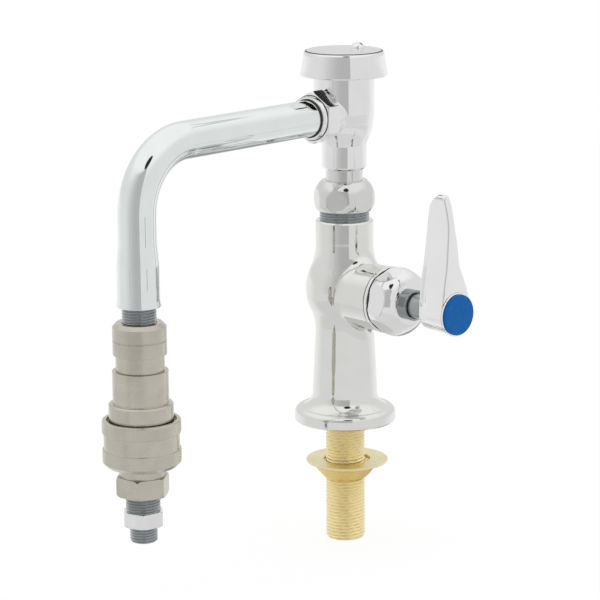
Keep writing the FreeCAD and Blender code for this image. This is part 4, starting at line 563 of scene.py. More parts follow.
def columnProfile(s):
    return outline([
        (s.footStart, s.flangeHeight, s.footArc, -1), (s.footRadius, s.footTop),
        (s.waistRadius, s.waistHeight, s.blendArc, -1), (*s.bulgeUnder, s.underArc, 1),
        (s.bulgeRadius, s.bulgeHeight, s.overArc, 1), (*s.bulgeOver, s.blendArc, -1),
        (s.neckRadius, s.neckStart), (s.neckRadius, s.neckTop), (0, s.neckTop),
    ])[:-1]


def columnRadius(s):
    # height, radius and slope of the column, with the joins of its arcs eased
    line = np.array(columnProfile(s)[:-1])
    heights = np.arange(s.flangeHeight, s.neckTop, s.easeStep)
    radii = np.interp(heights, line[:, 1], line[:, 0])
    width = np.arange(-s.easeCount, s.easeCount + 1) * s.easeStep
    kernel = np.exp(-width ** 2 / (2 * s.easeWidth ** 2))
    eased = np.convolve(np.pad(radii, s.easeCount, mode="edge"), kernel / kernel.sum(), mode="valid")
    return heights, eased, np.gradient(eased, heights)


def baseField(s):
    heights, radii, slopes = columnRadius(s)

    def field(p):
        x, y, z = p.T
        r = np.hypot(x, y)
        slope = np.interp(z, heights, slopes)
        lean = 1 / np.sqrt(1 + slope ** 2)
        trunk = (r - np.interp(z, heights, radii)) * lean
        rise = z - layout["valveHeight"]
        off = np.hypot(y, rise)
        branch = np.maximum(off - s.branchRadius, -x)
        # n is the cosine between the two surfaces, between which a ball of the saddle's radius rolls
        n = (y / np.maximum(r, 1e-6)) * (y / np.maximum(off, 1e-6)) * lean
        n = np.clip(n - slope * lean * rise / np.maximum(off, 1e-6), -0.98, 0.98)
        a, b = s.saddle - trunk, s.saddle - branch
        ball = np.sqrt(np.maximum(a * a + b * b - 2 * a * b * n, 0) / (1 - n * n))
        rolled = (a - n * b > 0) & (b - n * a > 0) & (a > 0) & (b > 0) & (x > 0)
        nearest = np.minimum(trunk, branch)
        return np.where(rolled, np.minimum(s.saddle - ball, nearest), nearest)
    return field


def buildBase(s):
    field = baseField(s)
    heights, radii, slopes = columnRadius(s)
    cuts = ((2, s.cutLow, -1), (2, s.cutHigh, 1), (0, s.cutBranch, 1))
    verts, faces, norms = skin(field, (-s.gridSide, -s.gridSide, s.cutLow - s.grain),
                               (s.cutBranch + s.grain, s.gridSide, s.cutHigh + s.grain), s.grain)
    for axis, value, sign in cuts:
        verts[(verts[:, axis] - value) * sign > -s.grain * 0.75, axis] = value
    for _ in range(4):
        slope = slopeOf(field, verts, 0.02)
        for axis, value, sign in cuts:
            slope[np.abs(verts[:, axis] - value) < 1e-9, axis] = 0
        verts = verts - pullOf(field, verts, slope)
    for axis, value, sign in cuts:
        # faces that the cut has flattened onto its plane
        faces = faces[~(np.abs(verts[:, axis] - value) < 1e-9)[faces].all(1)]
    used, faces = np.unique(faces, return_inverse=True)
    middle = verts[used], faces.reshape(-1, 4), outwards(field, verts[used])

    def band(bottom, top):
        return [(float(np.interp(z, heights, radii)), float(z)) for z in np.linspace(bottom, top, 6)]

    foot = lathe([
        (0, 0), (s.flangeRadius - s.flangeChamfer, 0), (s.flangeRadius, s.flangeChamfer),
        (s.flangeRadius, s.flangeHeight - s.flangeRound, s.flangeRound, 1),
        (s.flangeRadius - s.flangeRound, s.flangeHeight), (s.footStart, s.flangeHeight),
        *[(r, z) for r, z in columnProfile(s) if s.flangeHeight < z <= s.footTop],
        *band(s.footTop + s.bandGap, s.cutLow),
    ], column, edge=0.12, closed=False)
    neck = lathe([
        *band(s.cutHigh, s.neckStart + s.bandGap), (s.neckRadius, s.neckTop - s.neckChamfer),
        (s.neckRadius - s.neckChamfer, s.neckTop), (s.spigotCore, s.neckTop), (s.spigotCore, s.spigotTop),
        (0, s.spigotTop),
    ], column, edge=0.2, closed=False)
    ring = lathe([
        (s.branchRadius, s.cutBranch), (s.branchRadius, s.branchReach - s.branchChamfer),
        (s.branchRadius - s.branchChamfer, s.branchReach), (0, s.branchReach),
    ], shift(z=layout["valveHeight"]) @ zToX, closed=False)
    for (points, _, normals), cut in ((foot, s.cutLow), (neck, s.cutHigh)):
        # the turned ends carry the column's own slope where they meet the middle
        at = np.abs(points[:, 2] - cut) < 1e-6
        slope = float(np.interp(cut, heights, slopes))
        away = points[at, :2] / np.hypot(points[at, 0], points[at, 1])[:, None]
        normals[at] = np.column_stack([away, np.full(len(away), -slope)]) / math.hypot(1, slope)
    makePiece("baseBody", [middle, foot, neck, ring], "deck_base", "polished_chrome", "base_body",
              look="cast_chrome")
    thread = cutPart(shift(z=s.neckTop - s.threadSunk), along=60, radius=s.spigotRadius,
                     length=s.threadLength, pitch=s.threadPitch, depth=s.threadDepth, land=0.12, runIn=0.3)
    makePiece("baseThread", [thread], "deck_base", "polished_chrome", look="thread_chrome")


buildBase(Sizes(**baseBody))


# valve side: gasket, bonnet, stem, lever and index button

bonnet = {
    "faceAt": 35.5, "gasketRadius": 17.3, "gasketThickness": 0.6, "flangeRadius": 17.6,
    "flangeThickness": 1.7, "flangeBore": 12.5, "grooveRadius": 17.1, "grooveWidth": 0.5, "grooveDepth": 1.2,
    "ringDepth": 0.7, "ringBore": 13.5, "overlap": 0.2, "barrelRadius": 18.1, "barrelAt": 44.0,
    "barrelArc": 24.0, "barrelBore": 6, "domeArc": 9.74, "domeRadius": 10.5, "domeEnd": 53.5,
    "acrossFlats": 32.6, "flatTurn": 20.0, "neckRadius": 8.0, "neckSunk": 0.4, "end": 57.0, "boreRadius": 6.8,
}


def buildBonnet(s):
    flangeStart = s.faceAt + s.gasketThickness
    flangeEnd = flangeStart + s.flangeThickness
    barrelStart = flangeEnd + s.grooveWidth
    root = s.grooveRadius - s.grooveDepth
    gasket = tube(s.flangeBore, s.gasketRadius, s.faceAt, flangeStart, valve, edge=0.1)
    makePiece("bonnetGasketRing", [gasket], "deck_base", "black_rubber", "bonnet_gasket")
    flange = lathe([
        (s.flangeBore, flangeStart), (s.flangeRadius, flangeStart), (s.flangeRadius, flangeEnd),
        (root, flangeEnd), (root, flangeEnd + s.grooveWidth / 2),
        (s.flangeBore, flangeEnd + s.grooveWidth / 2),
    ], valve)
    barrel = hexForm([
        (s.barrelBore, flangeEnd), (root, flangeEnd), (root, barrelStart),
        (s.grooveRadius, barrelStart, s.barrelArc, 1), (s.barrelRadius, s.barrelAt, s.domeArc, 1),
        (s.domeRadius, s.domeEnd), (s.barrelBore, s.domeEnd),
    ], s.acrossFlats, s.flatTurn, valve)
    makePiece("bonnetCap", [flange, barrel], "deck_base", "polished_chrome", "bonnet")
    neck = tube(s.boreRadius, s.neckRadius, s.domeEnd - s.neckSunk, s.end, valve, edge=0.3)
    makePiece("bonnetNeckRing", [neck], "deck_base", "polished_chrome", look="stainless_steel")
    groove = tube(s.ringBore, s.grooveRadius - s.ringDepth, flangeEnd - s.overlap, barrelStart + s.overlap,
                  valve, edge=0.1)
    makePiece("bonnetGrooveRing", [groove], "deck_base", "black_rubber")


buildBonnet(Sizes(**bonnet))

stemSleeve = {"inner": 5.0, "outer": 6.5, "low": 43.0, "high": 68.0}
makePiece("stemSleeveTube", [tube(**stemSleeve, place=valve, edge=0.3)], "handle", "polished_chrome",
          "stem_sleeve", look="stainless_steel")

leverHandle = {
    "hubStart": 68.0, "hubBackRadius": 10.5, "hubBackRound": 2.2, "hubRadius": 11.2, "hubEnd": 86.5,
    "rimRadius": 10.4, "rimBore": 3, "recess": 1.3, "hubCut": 85.3, "cutNear": 0.3,
    "edge": 1.3, "edgeShare": 0.8, "foot": -3.6, "blend": 0.5,
    # a shallow scoop along the back edge of both sides, where the blade grows out of the hub
    "scoopDepth": 0.75, "scoopFromBack": 3.4, "scoopWidth": 1.5, "scoopAt": 13.0, "scoopReach": 11.0,
    # height above the axis, back and front from the seat, half the thickness
    "sections": [
        (0.0, 68.6, 85.9, 10.4), (3.0, 68.6, 85.9, 10.4), (10.9, 67.7, 85.4, 8.9), (17.2, 67.0, 84.7, 7.2),
        (24.6, 66.3, 83.7, 4.9), (34.7, 66.7, 83.3, 3.8), (44.5, 66.8, 82.5, 2.6), (49.6, 67.4, 81.6, 2.4),
        (54.2, 68.2, 80.5, 2.4), (57.3, 70.0, 79.4, 2.3), (60.4, 72.9, 78.8, 1.1),
    ],
    "gridBack": 64.6, "gridSide": 12.1, "gridTop": 61.3, "grain": 0.4,
}


def easedCurve(heights, values):
    # smooth line through the stations, without overshoot
    h, v = np.array(heights), np.array(values)
    step = np.diff(h)
    slope = np.diff(v) / step
    m = np.zeros_like(v)
    for k in range(1, len(v) - 1):
        if slope[k - 1] * slope[k] > 0:
            a, b = 2 * step[k] + step[k - 1], step[k] + 2 * step[k - 1]
            m[k] = (a + b) / (a / slope[k - 1] + b / slope[k])
    m[-1] = slope[-1]

    def curve(x):
        k = np.clip(np.searchsorted(h, x) - 1, 0, len(step) - 1)
        t = np.clip((x - h[k]) / step[k], 0, 1)
        return ((2 * t ** 3 - 3 * t ** 2 + 1) * v[k] + (t ** 3 - 2 * t ** 2 + t) * step[k] * m[k]
                + (-2 * t ** 3 + 3 * t ** 2) * v[k + 1] + (t ** 3 - t ** 2) * step[k] * m[k + 1])
    return curve


def buildLever(s):
    heights, *rows = zip(*s.sections)
    back, front, half = (easedCurve(heights, row) for row in rows)
    hub = polygonField([
        (0, s.hubStart), (s.hubBackRadius - s.hubBackRound, s.hubStart, s.hubBackRound, 1),
        (s.hubBackRadius, s.hubStart + s.hubBackRound), (s.hubRadius, s.hubEnd), (0, s.hubEnd),
    ])

    def field(p):
        x, y, z = p.T
        b, f, w = back(z), front(z), half(z)
        aside, along = (x - b - s.scoopFromBack) / s.scoopWidth, (z - s.scoopAt) / s.scoopReach
        scoop = np.exp(-aside ** 2 - along ** 4)
        e = np.minimum(s.edge, w * s.edgeShare)
        q = e + np.stack([np.abs(x - (b + f) / 2) - (f - b) / 2, np.abs(y) - w + s.scoopDepth * scoop,
                          np.maximum(z - heights[-1], s.foot - z)])
        blade = np.sqrt((np.maximum(q, 0) ** 2).sum(0)) + np.minimum(q.max(0), 0) - e
        return smoothMin(blade, hub(np.hypot(y, z), x), s.blend)

    blade = skin(field, (s.gridBack, -s.gridSide, -s.gridSide), (s.hubCut + s.grain, s.gridSide, s.gridTop),
                 s.grain, lifted)
    # the hub's front is cut flat for the turned rim
    cut = s.hubCut + layout["seat"]
    blade[0][blade[0][:, 0] > cut - s.cutNear, 0] = cut
    taper = (s.hubRadius - s.hubBackRadius) / (s.hubEnd - s.hubStart - s.hubBackRound)
    rim = lathe([
        (s.rimBore, s.hubCut), (s.hubRadius - taper * (s.hubEnd - s.hubCut), s.hubCut),
        (s.hubRadius, s.hubEnd), (s.rimRadius, s.hubEnd), (s.rimRadius, s.hubEnd - s.recess),
        (s.rimBore, s.hubEnd - s.recess),
    ], valve, edge=0.16, closed=False)
    makePiece("leverBlade", [blade, rim], "handle", "polished_chrome", "lever_handle", look="lever_chrome")


buildLever(Sizes(**leverHandle))

indexButton = {"radius": 10.4, "start": 85.2, "end": 88.0, "crown": 0.25, "rimWidth": 0.5}


def buildIndexButton(s):
    disc = lathe([
        (0, s.start), (s.radius, s.start), (s.radius, s.end - s.crown), (s.radius - s.rimWidth, s.end),
        (0, s.end + s.crown),
    ], valve, edge=0.15, closed=False)
    makePiece("indexDisc", [disc], "handle", "blue_plastic", "index_button")


buildIndexButton(Sizes(**indexButton))


# top: coupling nut, collar, vacuum breaker, hood

couplingNut = {
    "start": 114.2, "bottomRadius": 14.5, "lowerArc": 8.7, "barrelRadius": 16.3, "barrelAt": 119.5, "bore": 5,
    "barrelWidth": 1.0, "upperArc": 12.0, "topRadius": 11.8, "top": 130.0, "acrossFlats": 30.2, "turn": 0.0,
}


def buildCouplingNut(s):
    blank = hexForm([
        (s.bore, s.start), (s.bottomRadius, s.start, s.lowerArc, 1), (s.barrelRadius, s.barrelAt),
        (s.barrelRadius, s.barrelAt + s.barrelWidth, s.upperArc, 1), (s.topRadius, s.top), (s.bore, s.top),
    ], s.acrossFlats, s.turn, column, grain=0.4)
    makePiece("couplingNutCap", [blank], "deck_base", "polished_chrome", "coupling_nut", look="nut_chrome")


buildCouplingNut(Sizes(**couplingNut))

tailCollar = {"inner": 5, "outer": 9.75, "low": 117.0, "high": 136.0}
makePiece("tailCollarTube", [tube(**tailCollar, place=column, edge=0.3)], "spout", "polished_chrome",
          "swivel_tailpiece", look="nut_chrome")

vacuumBreaker = {
    "bottom": 136.0, "chamfer": 1.2, "neckRadius": 11.75, "neckTop": 149.0, "stepRadius": 12.9,
    "stepTop": 152.0, "stepArc": 27.0, "shoulderRadius": 15.3, "shoulderHeight": 161.4, "radius": 15.85,
    "fullHeight": 166.0, "top": 188.0, "bossRadius": 10.6, "bossReach": 23.0, "seam": 1.2, "gridSide": 17.1,
    "grain": 0.5,
    # the float's chamber, open at the top
    "floor": 153.2, "floorRadius": 10.2, "chamberFull": 164.0, "chamberRadius": 13.0, "chamberOver": 5,
}


def buildBreaker(s):
    shell = polygonField([
        (0, s.bottom), (s.neckRadius - s.chamfer, s.bottom), (s.neckRadius, s.bottom + s.chamfer),
        (s.neckRadius, s.neckTop), (s.stepRadius, s.stepTop, s.stepArc, 1),
        (s.shoulderRadius, s.shoulderHeight), (s.radius, s.fullHeight), (s.radius, s.top), (0, s.top),
    ])
    chamber = polygonField([
        (0, s.floor), (s.floorRadius, s.floor), (s.chamberRadius, s.chamberFull),
        (s.chamberRadius, s.top + s.chamberOver), (0, s.top + s.chamberOver),
    ])

    def field(p):
        x, y, z = p.T
        r = np.hypot(x, y)
        off = np.hypot(x, z - layout["armHeight"])
        boss = np.maximum(off - s.bossRadius, np.maximum(y - s.bossReach, -y))
        return np.maximum(smoothMin(shell(r, z), boss, s.seam), -chamber(r, z))

    body = skin(field, (-s.gridSide, -s.gridSide, s.bottom - 1), (s.gridSide, s.bossReach + 1, s.top + 1),
                s.grain, swung)
    makePiece("breakerShell", [body], "spout", "polished_chrome", "breaker_body")


buildBreaker(Sizes(**vacuumBreaker))

hood = {
    "lipHeight": 185.2, "lipRadius": 22.9, "lipEdge": 0.7, "wall": 1.2, "sideRadius": 21.3,
    "sideHeight": 195.3, "crestRadius": 20.75, "crestWidth": 0.35, "crestHeight": 197.9, "edgeArc": 3.2,
    "grooveRadius": 20.0, "grooveHeight": 197.0, "grooveOut": 0.25, "grooveIn": 0.4, "panelHeight": 198.5,
    "plateTop": 195.2, "plateGap": 0.3, "lining": 0.45, "liningGap": 0.05, "liningRise": 0.4,
    "liningBore": 10, "ringOut": 0.1, "ringIn": 0.2, "ringHeight": 198.3, "around": 160,
}


def buildHood(s):
    plate = s.plateTop + s.plateGap
    crestInner, panelRadius = s.grooveRadius + s.grooveOut, s.grooveRadius - s.grooveIn
    lipInner, sideInner = s.lipRadius - s.wall, s.sideRadius - s.wall
    ringOuter, ringInner = s.grooveRadius + s.ringOut, panelRadius - s.ringIn
    shell = lathe([
        (lipInner, s.lipHeight), (s.lipRadius - s.lipEdge / 2, s.lipHeight),
        (s.lipRadius, s.lipHeight + s.lipEdge), (s.sideRadius, s.sideHeight, s.edgeArc, 1),
        (s.crestRadius - s.crestWidth, s.crestHeight), (crestInner, s.grooveHeight), (crestInner, plate),
        (sideInner, plate),
    ], column, edge=0.3, around=s.around)
    makePiece("hoodShell", [shell], "spout", "polished_chrome", "hood")
    panel = tube(0, panelRadius, plate, s.panelHeight, column, edge=0.35, around=s.around, closed=False)
    makePiece("hoodPanel", [panel], "spout", "polished_chrome", look="panel_chrome")
    # the inside of the hood, with a ring rising into the groove between crest and panel, in dark grey:
    # painted shade for the hollow and the groove
    lining = lathe([
        (lipInner - s.liningGap, s.lipHeight + s.liningRise), (sideInner, plate), (ringOuter, plate),
        (ringOuter, s.ringHeight), (ringInner, s.ringHeight), (ringInner, s.plateTop),
        (s.liningBore, s.plateTop), (sideInner - s.liningGap - s.lining, s.plateTop),
        (lipInner - s.liningGap - s.lining, s.lipHeight + s.liningRise),
    ], column, edge=0.2, around=s.around)
    makePiece("hoodShadeLining", [lining], "spout", "polished_chrome", look="inside_shade")


buildHood(Sizes(**hood))


# outlet nut, spout tube

outletNut = {
    "start": 17.0, "hexEnd": 26.0, "end": 28.5, "acrossFlats": 24.2, "turn": -2.0, "chamfer": 1.1, "bore": 6,
    "collarRadius": 11.7, "collarSunk": 0.5, "endRadius": 11.0, "tubeRadius": 9.525,
    # black rings at both ends of the collar, painted shade for the gaps there: from, to, radius
    "rings": [(25.6, 26.3, 11.85), (28.3, 28.9, 10.15)],
}


def buildOutletNut(s):
    collar = lathe([
        (s.tubeRadius, s.hexEnd - s.collarSunk), (s.collarRadius, s.hexEnd - s.collarSunk),
        (s.collarRadius, s.hexEnd), (s.endRadius, s.end), (s.tubeRadius, s.end),
    ], arm, edge=0.35)
    blank = hexBlank(s, s.bore, s.start, s.hexEnd, arm)
    makePiece("outletNutHex", [blank, collar], "spout", "polished_chrome", "outlet_nut")
    # black rubber rings painted as the shaded gaps where the collar meets the hex and the tube
    rings = [tube(s.tubeRadius, radius, low, high, arm, edge=0.15) for low, high, radius in s.rings]
    makePiece("outletNutShadeRings", rings, "spout", "black_rubber")


buildOutletNut(Sizes(**outletNut))

spoutTube = {
    "radius": 9.525, "start": 24.0, "bend": 33.0, "swageTop": 119.0, "swageFull": 108.5, "swageRadius": 10.5,
    "swageEase": 0.8, "end": 88.4, "threadRadius": 8.57, "mouthRadius": 11.1, "mouthTaper": 0.1,
    "mouthHeight": 1.0, "flareHeight": 2.4, "flare": 0.2, "flareEnd": 4.8,
    "runSteps": 11, "bendSteps": 48, "around": 128,
}


def buildTube(s):
    # stations along the middle line: place, direction, radius and how the radius changes
    reach, height, bend, ease = layout["reach"], layout["armHeight"], s.bend, s.swageEase
    stations = [((y, height), (1, 0), s.radius, 0)
                for y in np.linspace(s.start, reach - bend, s.runSteps + 1)]
    for a in np.linspace(0, math.pi / 2, s.bendSteps + 1)[1:]:
        place = (reach - bend + bend * math.sin(a), height - bend + bend * math.cos(a))
        stations.append((place, (math.cos(a), -math.sin(a)), s.radius, 0))
    taper = (s.swageRadius - s.radius) / (s.swageTop - s.swageFull)
    for z, r, lean in ((s.swageTop + ease, s.radius, 0), (s.swageTop, s.radius, 0),
                       (s.swageTop - ease, s.radius + ease * taper, taper),
                       (s.swageFull + ease, s.swageRadius - ease * taper, taper),
                       (s.swageFull, s.swageRadius, 0), (s.swageFull - ease, s.swageRadius, 0)):
        stations.append(((reach, z), (0, -1), r, lean))
    angles = np.arange(s.around) * 2 * math.pi / s.around
    verts, norms = [], []
    for (y, z), (dy, dz), r, lean in stations:
        side = np.stack([np.cos(angles), np.sin(angles) * dz, -np.sin(angles) * dy], 1)
        verts.append(side * r + (0, y, z))
        tilt = side - np.array([0, dy, dz]) * lean
        norms.append(tilt / np.linalg.norm(tilt, axis=1, keepdims=True))
    quads = ringQuads(len(stations), s.around, False)[:, [0, 3, 2, 1]]
    run = moved((np.concatenate(verts), quads, np.concatenate(norms)), swung)
    mouth = lathe([
        (s.threadRadius, s.end), (s.mouthRadius, s.end),
        (s.mouthRadius - s.mouthTaper, s.end + s.mouthHeight),
        (s.swageRadius + s.flare, s.end + s.flareHeight), (s.swageRadius, s.end + s.flareEnd),
        (s.swageRadius, s.swageFull - ease),
    ], leg, edge=0.35, closed=False)
    makePiece("spoutTubeBend", [run, mouth], "spout", "polished_chrome", "spout_tube", "tube_collar",
              look="tube_chrome")


buildTube(Sizes(**spoutTube))


# quick disconnect

spoutNipple = {"radius": 8.57, "start": 72.0, "end": 90.0, "pitch": 1.41, "depth": 0.85, "bore": 6.2}


def buildSpoutNipple(s):
    thread = cutPart(leg @ shift(z=s.start), along=150, radius=s.radius, length=s.end - s.start,
                     pitch=s.pitch, depth=s.depth, land=0.1, runIn=0.4)
    core = tube(s.bore, s.radius - s.depth, s.start, s.end, leg, edge=0.2, around=64)
    makePiece("spoutNippleThread", [thread, core], "spout", "nickel_plate", "spout_nipple",
              look="thread_chrome")


buildSpoutNipple(Sizes(**spoutNipple))

adaptor = {
    "start": 56.5, "neckRadius": 12.0, "neckHeight": 8.1, "radius": 13.3, "height": 24.0, "chamfer": 2.0,
    "grooveAt": 15.0, "grooveWidth": 0.6, "grooveDepth": 0.4, "threadRadius": 8.57,
}


def buildAdaptor(s):
    neckTop, top = s.start + s.neckHeight, s.start + s.height
    groove, grooveTop = s.start + s.grooveAt, s.start + s.grooveAt + s.grooveWidth
    body = lathe([
        (s.threadRadius, s.start), (s.neckRadius, s.start), (s.neckRadius, neckTop), (s.radius, neckTop),
        (s.radius, groove), (s.radius - s.grooveDepth, groove), (s.radius - s.grooveDepth, grooveTop),
        (s.radius, grooveTop), (s.radius, top - s.chamfer), (s.radius - s.chamfer, top),
        (s.threadRadius, top),
    ], leg)
    makePiece("adaptorBody", [body], "spout", "nickel_plate", "coupler_adaptor")


buildAdaptor(Sizes(**adaptor))

coupler = {
    "start": 9.0, "boreRadius": 9.3, "barrelRadius": 13.6, "barrelLength": 18.0, "shoulderRadius": 16.0,
    "shoulderHeight": 12.5, "shoulderChamfer": 0.8, "radius": 13.8, "top": 56.5,
}


def buildCoupler(s):
    shoulder = s.start + s.barrelLength
    shoulderTop = shoulder + s.shoulderHeight
    body = lathe([
        (s.boreRadius, s.start), (s.barrelRadius, s.start), (s.barrelRadius, shoulder),
        (s.shoulderRadius, shoulder), (s.shoulderRadius, shoulderTop),
        (s.shoulderRadius - s.shoulderChamfer, shoulderTop + s.shoulderChamfer),
        (s.radius, shoulderTop + s.shoulderChamfer), (s.radius, s.top), (s.boreRadius, s.top),
    ], leg)
    makePiece("couplerShell", [body], "spout", "nickel_plate", "coupler_body")


buildCoupler(Sizes(**coupler))

sleeve = {
    "start": 8.3, "bottomRadius": 17.0, "bottomHeight": 2.3, "radius": 19.4, "lowerBand": 6.5,
    "waistRadius": 18.7, "waistHeight": 8.2, "upperBand": 6.7, "lipRadius": 17.3, "lipDepth": 2.8,
    "round": 0.9, "bore": 15.5, "knurls": 90, "knurlPitch": 1.3, "knurlDepth": 0.08, "knurlMargin": 0.3,
    "knurlTop": 0.2,
}


def buildSleeve(s):
    z1 = s.start + s.bottomHeight
    z2 = z1 + s.lowerBand
    z3 = z2 + s.waistHeight
    z4 = z3 + s.upperBand
    body = lathe([
        (s.bore, s.start), (s.bottomRadius, s.start), (s.radius, z1), (s.radius, z2), (s.waistRadius, z2),
        (s.waistRadius, z3), (s.radius, z3), (s.radius, z4 - s.round, s.round, 1), (s.radius - s.round, z4),
        (s.lipRadius, z4), (s.lipRadius, z4 - s.lipDepth), (s.bore, z4 - s.lipDepth),
    ], leg, edge=0.3)
    bands = (z1 + s.knurlMargin, z2 - s.knurlMargin), (z3 + s.knurlMargin, z4 - s.round - s.knurlTop)
    knurls = [cutPart(leg @ shift(z=low), around=s.knurls * 6, along=30, radius=s.radius + s.knurlDepth,
                      length=high - low, pitch=s.knurlPitch, starts=float(s.knurls), depth=s.knurlDepth,
                      crossed=1.0, land=0.2, runIn=0.3) for low, high in bands]
    makePiece("sleeveShell", [body, *knurls], "release_sleeve", "nickel_plate", "release_sleeve")


buildSleeve(Sizes(**sleeve))


# plug, reducing nipple

plug = {
    "bottom": -6.7, "acrossFlats": 23.8, "turn": -26.6, "hexHeight": 10.1, "chamfer": 1.2, "bore": 5,
    "neckRadius": 11.4, "neckSunk": 0.5, "neckEnd": 8.4, "neckBore": 5.5, "noseRadius": 9.0, "noseTop": 30.0,
}


def buildPlug(s):
    top = s.bottom + s.hexHeight
    neck = lathe([
        (s.neckBore, top - s.neckSunk), (s.neckRadius, top - s.neckSunk), (s.neckRadius, s.neckEnd),
        (s.noseRadius, s.neckEnd), (s.noseRadius, s.noseTop), (s.neckBore, s.noseTop),
    ], leg)
    makePiece("plugHex", [hexBlank(s, s.bore, s.bottom, top, leg), neck], "plug", "nickel_plate", "plug_body")


buildPlug(Sizes(**plug))

reducer = {
    "top": -6.7, "neck": 8.0, "acrossFlats": 19.05, "turn": -14.3, "hexHeight": 7.6, "chamfer": 1.0,
    "threadLength": 8.3, "upperRadius": 8.57, "lowerRadius": 6.86, "bore": 4.6, "pitch": 1.41, "depth": 0.8,
    "upperSunk": 0.5, "upperOver": 1.0, "lowerSunk": 0.4, "endChamfer": 0.8,
}


def buildReducer(s):
    hexTop = s.top - s.neck
    hexBottom = hexTop - s.hexHeight
    end = hexBottom - s.threadLength
    ends = ((hexTop - s.upperSunk, s.upperRadius, s.neck + s.upperSunk + s.upperOver, 0.3),
            (end, s.lowerRadius, s.threadLength + s.lowerSunk, s.endChamfer))
    threads = [cutPart(leg @ shift(z=start), along=80, radius=radius, length=length, pitch=s.pitch,
                       depth=s.depth, land=0.1, runIn=runIn) for start, radius, length, runIn in ends]
    core = tube(s.bore, s.lowerRadius - s.depth, end, s.top, leg, edge=0.2, around=64)
    makePiece("reducerHex", [hexBlank(s, s.bore, hexBottom, hexTop, leg), core], "plug", "nickel_plate",
              "reducing_nipple", look="polished_chrome")
    makePiece("reducerThreads", threads, "plug", "nickel_plate", look="thread_chrome")


buildReducer(Sizes(**reducer))


# under the deck: shank, washer, locknut

shank = {
    "radius": 10.45, "bore": 7.0, "bottom": -65.5, "top": 2.0, "pitch": 1.81, "depth": 0.75, "chamfer": 1.2,
}


def buildShank(s):
    thread = cutPart(shift(z=s.bottom), around=128, along=420, radius=s.radius, length=s.top - s.bottom,
                     pitch=s.pitch, depth=s.depth, land=0.14, runIn=s.chamfer)
    core = tube(s.bore, s.radius - s.depth, s.bottom, s.top, column, edge=0.2)
    makePiece("shankThread", [thread, core], "deck_base", "raw_brass", "inlet_shank")


buildShank(Sizes(**shank))

deckWasher = {"radius": 21.85, "hole": 12.5, "thickness": 1.2, "top": -22.0, "shift": 0.9, "shiftAngle": 47.0}


def buildWasher(s):
    a = math.radians(s.shiftAngle)
    place = shift(s.shift * math.cos(a), s.shift * math.sin(a))
    disc = tube(s.hole, s.radius, s.top - s.thickness, s.top, place, edge=0.3)
    makePiece("deckWasherDisc", [disc], "deck_base", "raw_brass", "deck_washer", look="washer_brass")


buildWasher(Sizes(**deckWasher))

locknut = {
    "radius": 17.2, "rim": 2.3, "rimEdge": 0.3, "step": 0.5, "height": 8.3, "endRadius": 11.8, "top": -23.2,
    "bore": 10.45, "serrations": 72, "serrationDepth": 0.22, "serrationGap": 0.2,
}


def buildLocknut(s):
    bottom, rimStart, rimRoot = s.top - s.height, s.top - s.rim, s.radius - s.step
    cone = lathe([
        (s.bore, bottom), (s.endRadius - s.serrationDepth, bottom),
        (rimRoot - s.serrationDepth - s.serrationGap, rimStart), (rimRoot, rimStart),
        (s.radius, rimStart + s.rimEdge), (s.radius, s.top), (s.bore, s.top),
    ], column, edge=0.2)
    # a pitch without end leaves the flutes straight
    serrated = cutPart(shift(z=bottom), around=s.serrations * 6, along=12, radius=s.endRadius,
                       endRadius=rimRoot, length=rimStart - bottom, pitch=1e6, starts=float(s.serrations),
                       depth=s.serrationDepth, land=0.2, runIn=0.5)
    makePiece("locknutBody", [cone, serrated], "deck_base", "raw_brass", "locknut", look="turned_brass")


buildLocknut(Sizes(**locknut))

# every CAD node that still shows, or hides inside, takes the material of its slot
for subpart in frame["record"]["subparts"]:
    node = frame["nodes"][subpart["node"]]
    node.data.materials.clear()
    node.data.materials.append(materials[subpart["material_slot"]])
print("pieces made")


# camera, light and surroundings

view = {
    "place": (0.9337, -0.9001, 0.3566), "turn": 47.10, "down": 12.663, "roll": -0.432,
    "lens": 150.1, "sensor": 36.0,
}


def buildCamera(s):
    data = bpy.data.cameras.new("camera")
    data.lens, data.sensor_width, data.clip_start, data.clip_end = s.lens, s.sensor, 0.1, 20
    camera = bpy.data.objects.new("camera", data)
    bpy.context.scene.collection.objects.link(camera)
    turn, tilt, roll = (Matrix.Rotation(math.radians(angle), 4, axis)
                        for angle, axis in ((s.turn, "Z"), (90 - s.down, "X"), (s.roll, "Z")))
    camera.matrix_world = Matrix.Translation(s.place) @ turn @ tilt @ roll
    bpy.context.scene.camera = camera


buildCamera(Sizes(**view))

# azimuths are seen from the object, 0 towards the camera and positive to its right
studio = {
    "level": 0.8, "below": 0.73, "belowFrom": (-14.0, -20.0), "above": 0.97, "aboveFrom": (22.5, 47.5),
    "behind": 0.95, "behindFrom": (90.0, 140.0), "behindBand": (-65.0, 5.0, 8.0, 8.0),
    # darker and brighter bands: from, to and their soft edges in azimuth, the same in elevation, brightness
    "bands": [
        ((-80.0, 17.0, 75.0, 2.0), (-14.2, 48.0, 0.8, 8.0), 0.5),
        ((-43.9, -42.1, 0.8, 0.8), (-16.5, -8.4, 0.6, 0.3), 0.35),
        ((49.6, 52.4, 0.8, 0.8), (-13.0, -9.2, 0.6, 0.6), 0.1),
        ((112.0, 155.0, 4.0, 4.0), (43.5, 44.9, 0.6, 0.6), 0.62),
        ((126.0, 186.0, 24.0, 20.0), (-58.0, -20.0, 14.0, 10.0), 0.34),
    ],
    # the opening over the table: azimuth, elevation, half width, softness, brightness
    "opening": (8.0, 52.0, 9.0, 2.5, 0.03),
}


